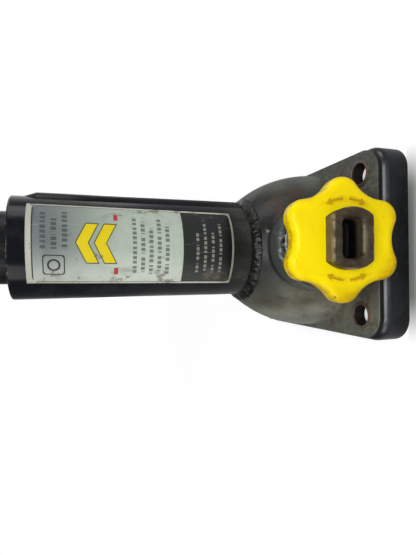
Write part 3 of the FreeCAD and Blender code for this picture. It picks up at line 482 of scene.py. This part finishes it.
def socket_steel():
    """Bare forging: brown rust over grey steel, rubbed bright on its raised edges, with painted highlights there
    too.
    """
    finish = Finish("socket_steel")
    rust = finish.noise(5 * MM, 6.0, rough=0.65).rise(0.36, 0.62)
    spots = finish.noise(1.4 * MM, 4.0, shift=7.0).rise(0.5, 0.68)
    front = finish.along(SOCKET_FACE, OUTWARD)
    inside = front.rise(-1.4 * MM, -6 * MM)
    deep = front.rise(-4 * MM, -9 * MM)
    across = abs(finish.along(APEX, X_AXIS))
    up = abs(finish.along(APEX, SHAFT_UP))
    mouth = (up - SLOT_HALF_WIDTH).rise(0.9 * MM, 0.2 * MM)
    mouth = mouth * (SLOT_HALF_LENGTH - across).rise(0.0, 3 * MM)
    rim = (SOCKET_HALF_LENGTH - across).least(SOCKET_HALF_WIDTH - up).rise(1.2 * MM, 0.3 * MM)
    edges = mouth.most(rim) * front.rise(-2.6 * MM, -1.2 * MM)
    worn_with_painted_glints = edges * finish.noise(4 * MM, 5.0, shift=3.0, rough=0.65).rise(0.4, 0.56)
    colour = finish.blend(rust, srgb(74, 67, 51), srgb(58, 42, 29))
    colour = finish.blend(spots * 0.7, colour, srgb(42, 33, 25))
    # painted light: the flat sides painted paler, as if lit
    painted_lit_flats = (SOCKET_HALF_WIDTH - up).rise(0.6 * MM, 0.2 * MM)
    colour = finish.blend(painted_lit_flats * 0.5, colour, srgb(132, 116, 84))
    # walls set back from the face are tinted lighter tan; deep in the slot is painted shade
    colour = finish.blend(inside * (1 - painted_lit_flats) * 0.6, colour, srgb(92, 78, 58))
    colour = finish.blend(deep * (1 - painted_lit_flats), colour, srgb(12, 10, 8))
    # rubbed edges, with painted highlights
    colour = finish.blend(worn_with_painted_glints * 0.75, colour, srgb(146, 136, 112))
    pits = finish.noise(0.8 * MM, 5.0, shift=2.0)
    roughness = 0.42 + 0.22 * rust - 0.1 * worn_with_painted_glints
    return finish.surface(colour, roughness, pits + 0.6 * rust, 0.2 * MM, metallic=0.15, specular=0.3)


def steel(name, colour, roughness, grease=0.0):
    """Plain machined steel with turning marks and, inside the housing, a film of grease."""
    finish = Finish(name)
    marks = finish.noise(0.6 * MM, 3.0, (0.15, 0.15, 1.0))
    if grease:
        film = finish.noise(6 * MM, 4.0).rise(0.45, 0.65)
        colour = finish.blend(film * grease, colour, srgb(92, 70, 34))
    return finish.surface(colour, roughness + 0.14 * marks, marks, 0.02 * MM, metallic=0.9)


def bronze(name):
    """Turned bronze, dull with age."""
    finish = Finish(name)
    age = finish.noise(5 * MM, 4.0).rise(0.4, 0.7)
    colour = finish.blend(age, srgb(196, 152, 84), srgb(128, 92, 52))
    marks = finish.noise(0.7 * MM, 3.0, (0.15, 0.15, 1.0))
    return finish.surface(colour, 0.3 + 0.2 * age, marks, 0.02 * MM, metallic=0.9)


def ram_paint():
    """Blackened steel, rubbed lengthwise where it slides."""
    finish = Finish("ram_paint")
    rubs = finish.noise(3 * MM, 5.0, (1.0, 1.0, 0.06)).rise(0.5, 0.7)
    dirt = finish.noise(10 * MM, 4.0, shift=6.0).rise(0.45, 0.7)
    colour = finish.blend(rubs * 0.4, srgb(17, 19, 21), srgb(54, 57, 58))
    colour = finish.blend(dirt * 0.4, colour, srgb(44, 39, 33))
    return finish.surface(colour, 0.32 + 0.2 * dirt, rubs, 0.03 * MM, specular=0.2)


def saddle_iron():
    """Dark cast iron with a sandy skin, rubbed bright on top."""
    finish = Finish("saddle_iron")
    sand = finish.noise(1.0 * MM, 5.0, rough=0.7)
    rust = finish.noise(7 * MM, 5.0, shift=3.0).rise(0.5, 0.7)
    top = finish.along((0, 0, SADDLE_TOP), Z_AXIS).rise(-0.9 * MM, -0.1 * MM)
    colour = finish.blend(rust * 0.7, srgb(48, 48, 47), srgb(86, 62, 46))
    colour = finish.blend(top * 0.6, colour, srgb(118, 116, 110))
    return finish.surface(colour, 0.5 + 0.15 * rust - 0.15 * top, sand, 0.25 * MM, metallic=0.4)


def dress(finishes):
    """Gives every CAD node the finish that its record slot names."""
    slots = {part["node"]: part["material_slot"] for part in frame["record"]["subparts"]}
    for name, piece in nodes.items():
        piece.data.materials.clear()
        piece.data.materials.append(finishes[slots[name]])


def new_piece(name, mesh, body, material):
    """Puts a finished bmesh into the scene as one piece on a body."""
    data = bpy.data.meshes.new(name)
    mesh.to_mesh(data)
    mesh.free()
    piece = bpy.data.objects.new(name, data)
    bpy.context.scene.collection.objects.link(piece)
    data.materials.append(material)
    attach(piece, body)
    return piece


def smooth(piece):
    """Shades a piece smoothly."""
    for face in piece.data.polygons:
        face.use_smooth = True


def label_print():
    """Silver foil in a cream border: dashes, two chevrons, a ring in a box and a dark panel below."""
    finish = Finish("label_print")
    chart = finish.node("ShaderNodeUVMap", {"uv_map": "chart"}, {})
    across = finish.node("ShaderNodeSeparateXYZ", {}, {0: chart}, "X")
    up = finish.node("ShaderNodeSeparateXYZ", {}, {0: chart}, "Y")
    blur = 0.2 * MM

    def inside(low_x, high_x, low_y, high_y, corner=0.0):
        """1 inside a box with round corners, given in millimetres on the flat foil, and 0 outside it."""
        middle_x, half_x = (low_x + high_x) / 2 * MM, (high_x - low_x) / 2 * MM - corner * MM
        middle_y, half_y = (low_y + high_y) / 2 * MM, (high_y - low_y) / 2 * MM - corner * MM
        gap_x = (abs(across - middle_x) - half_x).most(0.0)
        gap_y = (abs(up - middle_y) - half_y).most(0.0)
        gap = (gap_x * gap_x + gap_y * gap_y).root()
        return gap.rise(corner * MM + blur, corner * MM)

    def dashes(low_x, high_x, low_y, high_y, shift):
        """A row of short dashes with a wider gap here and there."""
        fine = ((across + 0.7 * shift * MM) / (DASH_STEP * MM)).fraction().rise(0.26, 0.38)
        wide = ((across + 4.3 * shift * MM) / (DASH_GROUP * MM)).fraction().rise(0.1, 0.16)
        return inside(low_x, high_x, low_y, high_y) * fine * wide

    def rows(colour, count, start, step, tall, left, ends, shift, tint, strength):
        """Adds rows of dashes from one height on, whose right ends take turns."""
        for row in range(count):
            low = start + step * row
            line = dashes(left, ends[row % len(ends)], low, low + tall, row + shift)
            colour = finish.blend(line * strength, colour, tint)
        return colour

    width, length = LABEL_WIDTH / MM, LABEL_LENGTH / MM
    off_middle = abs(across - LABEL_WIDTH / 2)
    cream, black, ink = srgb(226, 226, 208), srgb(32, 35, 36), srgb(44, 48, 58)
    blotches = finish.noise(7 * MM, 6.0, rough=0.65)
    grime = finish.noise(8 * MM, 6.0, shift=4.0, rough=0.75).rise(0.6, 0.67)
    scratches = finish.noise(1.2 * MM, 3.0, (1.0, 1.0, 0.08)).rise(0.64, 0.74)
    # painted light: border and foil painted darker towards the label's top, as the light falls off
    painted_light_falloff = up.rise(100 * MM, 46 * MM)
    border = finish.blend(painted_light_falloff, srgb(176, 176, 162), srgb(222, 222, 204))
    foil = finish.blend(painted_light_falloff, srgb(84, 91, 95), srgb(182, 194, 180))
    # painted light: the foil painted paler along its -X edge
    foil = finish.blend(across.rise(20 * MM, 1 * MM) * 0.5, foil, srgb(226, 231, 219))
    foil = finish.blend(blotches.rise(0.4, 0.7) * 0.25, foil, srgb(140, 146, 138))
    # painted light: the dark panel painted paler along its -X edge
    panel = finish.blend(across.rise(16 * MM, 1 * MM) * 0.6, black, srgb(74, 80, 73))
    framed = inside(BORDER, width - BORDER, BORDER, length - TOP_BORDER, TOP_BORDER)
    colour = finish.blend(framed, border, panel)
    pale = inside(FOIL_SIDE, width - FOIL_SIDE, PANEL_TOP, length - FOIL_TOP)
    colour = finish.blend(pale, colour, foil)
    colour = rows(colour, count=3, start=89, step=-4.6, tall=2.1, left=17, ends=(35, 31), shift=0,
                  tint=ink, strength=0.7)
    colour = rows(colour, count=5, start=49, step=-3.9, tall=1.7, left=6, ends=(34, 31, 28), shift=2,
                  tint=ink, strength=0.7)
    slope = up + off_middle * CHEVRON_SLOPE
    for line, tint in ((CHEVRON_LINE, black), (0.0, srgb(226, 202, 0))):
        half_band, half_width = (CHEVRON_HALF_BAND + line) * MM, (CHEVRON_HALF_WIDTH + line) * MM
        wings = off_middle.rise(half_width + blur / 2, half_width - blur / 2)
        for place in CHEVRON_PLACES:
            band = abs(slope - place * MM).rise(half_band + blur / 2, half_band - blur / 2)
            colour = finish.blend(band * wings, colour, tint)
    for left in BAR_PLACES:
        colour = finish.blend(inside(left, left + BAR_LENGTH, BAR_LOW, BAR_HIGH), colour, srgb(186, 40, 38))
    for half, corner, tint in ((4.6, 1.2, black), (4.1, 1.2, foil), (2.7, 2.7, black), (1.9, 1.9, foil)):
        sign = inside(SIGN_X - half, SIGN_X + half, SIGN_Y - half, SIGN_Y + half, corner)
        colour = finish.blend(sign, colour, tint)
    colour = rows(colour, count=4, start=6.5, step=4, tall=1.2, left=7, ends=(width - 8, width - 13),
                  shift=5, tint=cream, strength=0.3)
    edges = off_middle.rise(9 * MM, 16 * MM) * up.rise(72 * MM, 52 * MM)
    smears = finish.noise(6 * MM, 6.0, (1.0, 1.0, 0.7), 11.0, 0.7).rise(0.52, 0.6) * edges
    colour = finish.blend((grime * 0.75).most(smears * 0.7), colour, srgb(104, 94, 78))
    colour = finish.blend(scratches * 0.15, colour, srgb(186, 190, 182))
    return finish.surface(colour, 0.36 + 0.25 * blotches, blotches, 0.03 * MM, specular=0.4)


def label():
    """The foil, spun about the tube's axis from one slanted edge."""
    mesh = bmesh.new()
    radius = TUBE_RADIUS + LABEL_LIFT
    edge = []
    for row in range(LABEL_ROWS + 1):
        share = row / LABEL_ROWS
        turn = LABEL_MIDDLE - LABEL_HALF_TURN + LABEL_SKEW * (0.5 - share)
        height = LABEL_LOW + share * LABEL_LENGTH
        edge.append(mesh.verts.new((radius * math.sin(turn), -radius * math.cos(turn), height)))
    for first, second in zip(edge, edge[1:]):
        mesh.edges.new((first, second))
    bmesh.ops.spin(mesh, geom=mesh.verts[:] + mesh.edges[:], cent=ORIGIN, axis=Z_AXIS,
                   angle=2 * LABEL_HALF_TURN, steps=LABEL_STEPS)
    bmesh.ops.remove_doubles(mesh, verts=mesh.verts[:], dist=SEAM)
    chart = mesh.loops.layers.uv.new("chart")
    for face in mesh.faces:
        for loop in face.loops:
            x, y, z = loop.vert.co
            share = (z - LABEL_LOW) / LABEL_LENGTH
            turn = math.atan2(x, -y) - LABEL_MIDDLE + LABEL_HALF_TURN - LABEL_SKEW * (0.5 - share)
            loop[chart].uv = (turn * TUBE_RADIUS, share * LABEL_LENGTH)
    bmesh.ops.recalc_face_normals(mesh, faces=mesh.faces[:])
    if mesh.faces[0].normal.dot(mesh.faces[0].calc_center_median() * Vector((1, 1, 0))) < 0:
        bmesh.ops.reverse_faces(mesh, faces=mesh.faces[:])
    piece = new_piece("label", mesh, "frame", label_print())
    wall = piece.modifiers.new("thickness", "SOLIDIFY")
    wall.thickness = LABEL_THICKNESS
    wall.offset = 1.0
    smooth(piece)


def weld_bead(material):
    """The bead as laid by hand: overlapping ripples of uneven height round the tube."""
    mesh = bmesh.new()
    leg, rise = weld_high.x - TUBE_RADIUS, weld_high.z - weld_low.z
    inner, under = TUBE_RADIUS - BEAD_SINK, weld_low.z - BEAD_SINK
    section = [mesh.verts.new((inner, 0, under)), mesh.verts.new((TUBE_RADIUS + leg, 0, under))]
    for turn in (0.0, 0.25, 0.5, 0.75, 1.0):
        angle = turn * math.pi / 2
        out, up = leg * math.cos(angle) ** BEAD_FLATNESS, rise * math.sin(angle) ** BEAD_FLATNESS
        section.append(mesh.verts.new((TUBE_RADIUS + out, 0, weld_low.z + up)))
    section.append(mesh.verts.new((inner, 0, weld_high.z)))
    for first, second in zip(section, section[1:] + section[:1]):
        mesh.edges.new((first, second))
    bmesh.ops.spin(mesh, geom=mesh.verts[:] + mesh.edges[:], cent=ORIGIN, axis=Z_AXIS, angle=math.tau,
                   steps=BEAD_STEPS, use_merge=True)
    bmesh.ops.remove_doubles(mesh, verts=mesh.verts[:], dist=SEAM)
    for vert in mesh.verts:
        arm = Vector((vert.co.x, vert.co.y, 0))
        if arm.length < TUBE_RADIUS + BEAD_SETTLE or vert.co.z < weld_low.z:
            continue
        lag = RIPPLE_SLANT * (vert.co.z - weld_low.z) / rise
        ripple = abs(math.sin(math.atan2(vert.co.y, vert.co.x) * BEAD_RIPPLES / 2 + lag))
        lump = RIPPLE_HEIGHT * (ripple - RIPPLE_MIDDLE) + LUMP_HEIGHT * noise.noise(vert.co / LUMP_SIZE)
        vert.co += (arm.normalized() + Z_AXIS * LUMP_RISE) * (lump - BEAD_SETTLE)
    bmesh.ops.recalc_face_normals(mesh, faces=mesh.faces[:])
    piece = new_piece("weld_bead", mesh, "frame", material)
    finer = piece.modifiers.new("rounding", "SUBSURF")
    finer.levels = finer.render_levels = 1
    smooth(piece)
    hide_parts("tube_weld")


def open_rim(mesh, height):
    """The open edges of a mesh that lie level at a height."""
    ends = [edge for edge in mesh.edges if edge.is_boundary]
    return [edge for edge in ends if all(abs(vert.co.z - height) < LEVEL for vert in edge.verts)]


def grow_rim(mesh, height, scale, lift):
    """Draws the open rim at a height inwards or outwards and along the axis."""
    grown = bmesh.ops.extrude_edge_only(mesh, edges=open_rim(mesh, height))
    verts = [item for item in grown["geom"] if isinstance(item, bmesh.types.BMVert)]
    bmesh.ops.scale(mesh, vec=(scale, scale, 1), verts=verts)
    bmesh.ops.translate(mesh, vec=(0, 0, lift), verts=verts)


def thread(low, high):
    """One tooth swept along its helix, and cut level at both heights."""
    mesh = bmesh.new()
    core = SCREW_RADIUS - THREAD_DEPTH
    slope = THREAD_DEPTH * math.tan(THREAD_FLANK)
    root = THREAD_LEAD - THREAD_CREST - 2 * slope
    tooth = ((core, 0.0), (core, root), (SCREW_RADIUS, root + slope),
             (SCREW_RADIUS, root + slope + THREAD_CREST), (core, THREAD_LEAD))
    start = low - SPARE_TURNS * THREAD_LEAD
    line = [mesh.verts.new((radius, 0, start + up)) for radius, up in tooth]
    edges = [mesh.edges.new(pair) for pair in zip(line, line[1:])]
    turns = math.ceil((high - low) / THREAD_LEAD) + SPARE_TURNS + 1
    bmesh.ops.spin(mesh, geom=line + edges, cent=ORIGIN, axis=Z_AXIS, angle=turns * math.tau,
                   dvec=Z_AXIS * THREAD_LEAD / THREAD_STEPS, steps=turns * THREAD_STEPS)
    bmesh.ops.remove_doubles(mesh, verts=mesh.verts[:], dist=LEVEL)
    for height, way in ((low, -1), (high, 1)):
        bmesh.ops.bisect_plane(mesh, geom=mesh.verts[:] + mesh.edges[:] + mesh.faces[:],
                               plane_co=(0, 0, height), plane_no=(0, 0, way), clear_outer=True)
    data = bpy.data.meshes.new("thread")
    mesh.to_mesh(data)
    mesh.free()
    return data


def threaded_screw(material):
    """The lifting screw, with its smooth shank cut out and the thread set in between collar and spigot."""
    mesh = bmesh.new()
    mesh.from_mesh(nodes["lead_screw"].data)
    bmesh.ops.remove_doubles(mesh, verts=mesh.verts[:], dist=SEAM)
    stub_low, stub_high = SHANK_LOW + COLLAR_STUB, SHANK_HIGH + SPIGOT_STUB
    for height in (stub_low, stub_high):
        bmesh.ops.bisect_plane(mesh, geom=mesh.verts[:] + mesh.edges[:] + mesh.faces[:],
                               plane_co=(0, 0, height), plane_no=Z_AXIS)
    shank = [face for face in mesh.faces if stub_low < face.calc_center_median().z < stub_high]
    bmesh.ops.delete(mesh, geom=shank, context="FACES")
    grow_rim(mesh, stub_low, RELIEF_RADIUS / SCREW_RADIUS, 0.0)
    grow_rim(mesh, stub_low, 1.0, RELIEF_LENGTH)
    thread_low = stub_low + RELIEF_LENGTH
    mesh.from_mesh(thread(thread_low, SHANK_HIGH))
    bmesh.ops.bridge_loops(mesh, edges=open_rim(mesh, thread_low))
    bmesh.ops.bridge_loops(mesh, edges=open_rim(mesh, SHANK_HIGH) + open_rim(mesh, stub_high))
    bmesh.ops.recalc_face_normals(mesh, faces=mesh.faces[:])
    for edge in mesh.edges:
        edge.smooth = edge.calc_face_angle(0.0) < SHARP
    piece = new_piece("threaded_screw", mesh, "screw", material)
    smooth(piece)
    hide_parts("lead_screw")


def bearing_balls(material):
    """The balls of the bearing, merged at their seams and shaded smooth over the flat faces that the solids' mesh
    has at their poles.
    """
    mesh = bmesh.new()
    mesh.from_mesh(nodes["thrust_balls"].data)
    bmesh.ops.remove_doubles(mesh, verts=mesh.verts[:], dist=SEAM)
    piece = new_piece("bearing_balls", mesh, "cage", material)
    smooth(piece)
    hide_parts("thrust_balls")


def worn_socket(material):
    """The socket head as a worn forging, with every edge rounded off."""
    mesh = bmesh.new()
    mesh.from_mesh(nodes["drive_socket"].data)
    bmesh.ops.remove_doubles(mesh, verts=mesh.verts[:], dist=SEAM)
    piece = new_piece("worn_socket", mesh, "drive", material)
    grid = piece.modifiers.new("grid", "REMESH")
    grid.mode = "VOXEL"
    grid.voxel_size = WEAR_GRID
    grid.use_smooth_shade = True
    soft = piece.modifiers.new("soft", "SMOOTH")
    soft.factor = 0.5
    soft.iterations = WEAR_PASSES
    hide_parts("drive_socket")


def arrow_stem(mesh, start, end):
    """A flat strip that follows an arc about the origin, spun from its first edge."""
    edge = [mesh.verts.new((ARROW_RADIUS + half * ARROW_WIDTH / 2, 0, 0)) for half in (-1, 1)]
    line = mesh.edges.new(edge)
    bmesh.ops.transform(mesh, matrix=Matrix.Rotation(start, 4, "Z"), verts=edge)
    bmesh.ops.spin(mesh, geom=edge + [line], cent=ORIGIN, axis=Z_AXIS, angle=end - start, steps=ARROW_STEPS)


def knob_arrows(material):
    """Curved arrows that stand out of the knob's face, a pair at each end of the socket."""
    mesh = bmesh.new()
    for side in (0.0, math.pi):
        for way in (-1, 1):
            start, end = side + way * ARROW_GAP, side + way * ARROW_REACH
            arrow_stem(mesh, start, end)
            tip = end + way * ARROW_HEAD / ARROW_RADIUS
            half = ARROW_HEAD * ARROW_HEAD_SHARE
            head = ((ARROW_RADIUS - half, end), (ARROW_RADIUS + half, end), (ARROW_RADIUS, tip))
            mesh.faces.new([mesh.verts.new((r * math.cos(a), r * math.sin(a), 0)) for r, a in head])
    bmesh.ops.remove_doubles(mesh, verts=mesh.verts[:], dist=SEAM)
    bmesh.ops.recalc_face_normals(mesh, faces=mesh.faces[:])
    raised = bmesh.ops.extrude_face_region(mesh, geom=mesh.faces[:])
    top = [item for item in raised["geom"] if isinstance(item, bmesh.types.BMVert)]
    bmesh.ops.translate(mesh, vec=(0, 0, ARROW_RISE), verts=top)
    face_of_knob = Matrix((X_AXIS, SHAFT_UP, OUTWARD)).transposed().to_4x4()
    face_of_knob.translation = KNOB_FACE - OUTWARD * ARROW_SINK
    bmesh.ops.transform(mesh, matrix=face_of_knob, verts=mesh.verts[:])
    bmesh.ops.recalc_face_normals(mesh, faces=mesh.faces[:])
    new_piece("knob_arrows", mesh, "drive", material)


finishes = {
    "tube_paint": tube_paint(),
    "weld_paint": weld_paint(),
    "housing_paint": housing_paint(),
    "foot_paint": foot_paint(),
    "rivet_steel": rivet_steel(),
    "bush_paint": bush_paint(),
    "knob_yellow": knob_yellow(),
    "socket_steel": socket_steel(),
    "ram_paint": ram_paint(),
    "saddle_iron": saddle_iron(),
    "gear_steel": steel("gear_steel", srgb(150, 150, 152), 0.3, 0.8),
    "screw_steel": steel("screw_steel", srgb(170, 170, 172), 0.26, 0.6),
    "washer_steel": steel("washer_steel", srgb(160, 160, 158), 0.3),
    "bearing_steel": steel("bearing_steel", srgb(190, 191, 194), 0.12, 0.4),
    "cage_brass": bronze("cage_brass"),
    "guide_bronze": bronze("guide_bronze"),
    "nut_bronze": bronze("nut_bronze"),
}
dress(finishes)
label()
weld_bead(finishes["weld_paint"])
knob_arrows(finishes["knob_yellow"])
worn_socket(finishes["socket_steel"])
threaded_screw(finishes["screw_steel"])
bearing_balls(finishes["bearing_steel"])


# Stage, light and camera
FLOOR_HALF = 3.0
FLOOR_GLOW = (0.66, 0.66, 0.66, 1.0)
WHITE = (1.0, 1.0, 1.0, 1.0)
BLACK = (0.0, 0.0, 0.0, 1.0)
ROOM_FRONT = (0.13, 0.135, 0.14, 1.0)
AIM = Vector((0, -20, 70)) * MM
# Each lamp's name, place, size and power
LAMPS = (
    ("key", Vector((0.0, -0.78, 0.85)), 0.8, 9.4),
    ("side", Vector((-0.8, -0.5, 0.5)), 0.6, 3.2),
    ("top", Vector((0.9, -0.15, 0.4)), 0.5, 2.4),
)


def floor():
    """A plain pale floor, white to the camera and, in mirror images, behind the jack on its +X side."""
    mesh = bmesh.new()
    bmesh.ops.create_grid(mesh, x_segments=1, y_segments=1, size=FLOOR_HALF)
    data = bpy.data.meshes.new("floor")
    mesh.to_mesh(data)
    mesh.free()
    piece = bpy.data.objects.new("floor", data)
    bpy.context.scene.collection.objects.link(piece)
    finish = Finish("floor_white")
    behind = finish.along(ORIGIN, Y_AXIS).rise(0.2, 0.6) * finish.along(ORIGIN, X_AXIS).rise(-0.5, 0.2)
    mirrored = finish.light("Is Glossy Ray").most(finish.light("Is Transmission Ray"))
    far = finish.away(ORIGIN).rise(0.25, 1.2)
    gap = finish.along((0, foot_low.y, 0), -Y_AXIS)
    width = abs(finish.along(ORIGIN, X_AXIS))
    shade = gap.rise(-2 * MM, 0.0) * gap.rise(16 * MM, 1 * MM) * width.rise(52 * MM, 24 * MM)
    lift = finish.blend(far, FLOOR_GLOW, WHITE)
    lift = finish.blend(shade, lift, BLACK)
    glow = finish.blend(finish.light("Is Camera Ray").most(mirrored * behind), BLACK, lift)
    tone = finish.blend(shade, srgb(180, 180, 179), srgb(118, 121, 118))
    data.materials.append(finish.surface(tone, 0.9, glow=glow, glow_strength=1.0))


def lamp(name, place, size, power):
    """A soft square lamp that points at the middle of the object."""
    light = bpy.data.lights.new(name, "AREA")
    light.size = size
    light.energy = power
    holder = bpy.data.objects.new(name, light)
    holder.location = place
    holder.rotation_euler = (AIM - place).to_track_quat("-Z", "Y").to_euler()
    bpy.context.scene.collection.objects.link(holder)


def surroundings():
    """White to the camera; to other rays white behind the object, and dim before it and on its -X side."""
    world = bpy.data.worlds.new("surroundings")
    bpy.context.scene.world = world
    world.use_nodes = True
    room = Nodes(world.node_tree)
    toward = room.node("ShaderNodeTexCoord", {}, {}, "Generated")
    depth = room.node("ShaderNodeSeparateXYZ", {}, {0: toward}, "Y").rise(0.1, 0.8)
    side = room.node("ShaderNodeSeparateXYZ", {}, {0: toward}, "X").rise(-0.7, 0.3)
    colour = room.blend(room.light("Is Camera Ray").most(depth * side), ROOM_FRONT, WHITE)
    room.fill(world.node_tree.nodes["Background"], {"Color": colour})


def camera():
    """The photograph's camera."""
    data = bpy.data.cameras.new("camera")
    data.sensor_width = SENSOR
    data.lens = FOCAL_PIXELS / FRAME_HEIGHT * SENSOR
    data.clip_start = 0.01
    holder = bpy.data.objects.new("camera", data)
    forward = CAMERA_FORWARD.normalized()
    right = (CAMERA_RIGHT - forward * CAMERA_RIGHT.dot(forward)).normalized()
    turn = Matrix((right, right.cross(forward), -forward)).transposed().to_4x4()
    holder.matrix_world = Matrix.Translation(CAMERA_PLACE) @ turn
    bpy.context.scene.collection.objects.link(holder)
    bpy.context.scene.camera = holder


floor()
surroundings()
for name, place, size, power in LAMPS:
    lamp(name, place, size, power)
camera()
bpy.context.scene.view_settings.view_transform = "Standard"
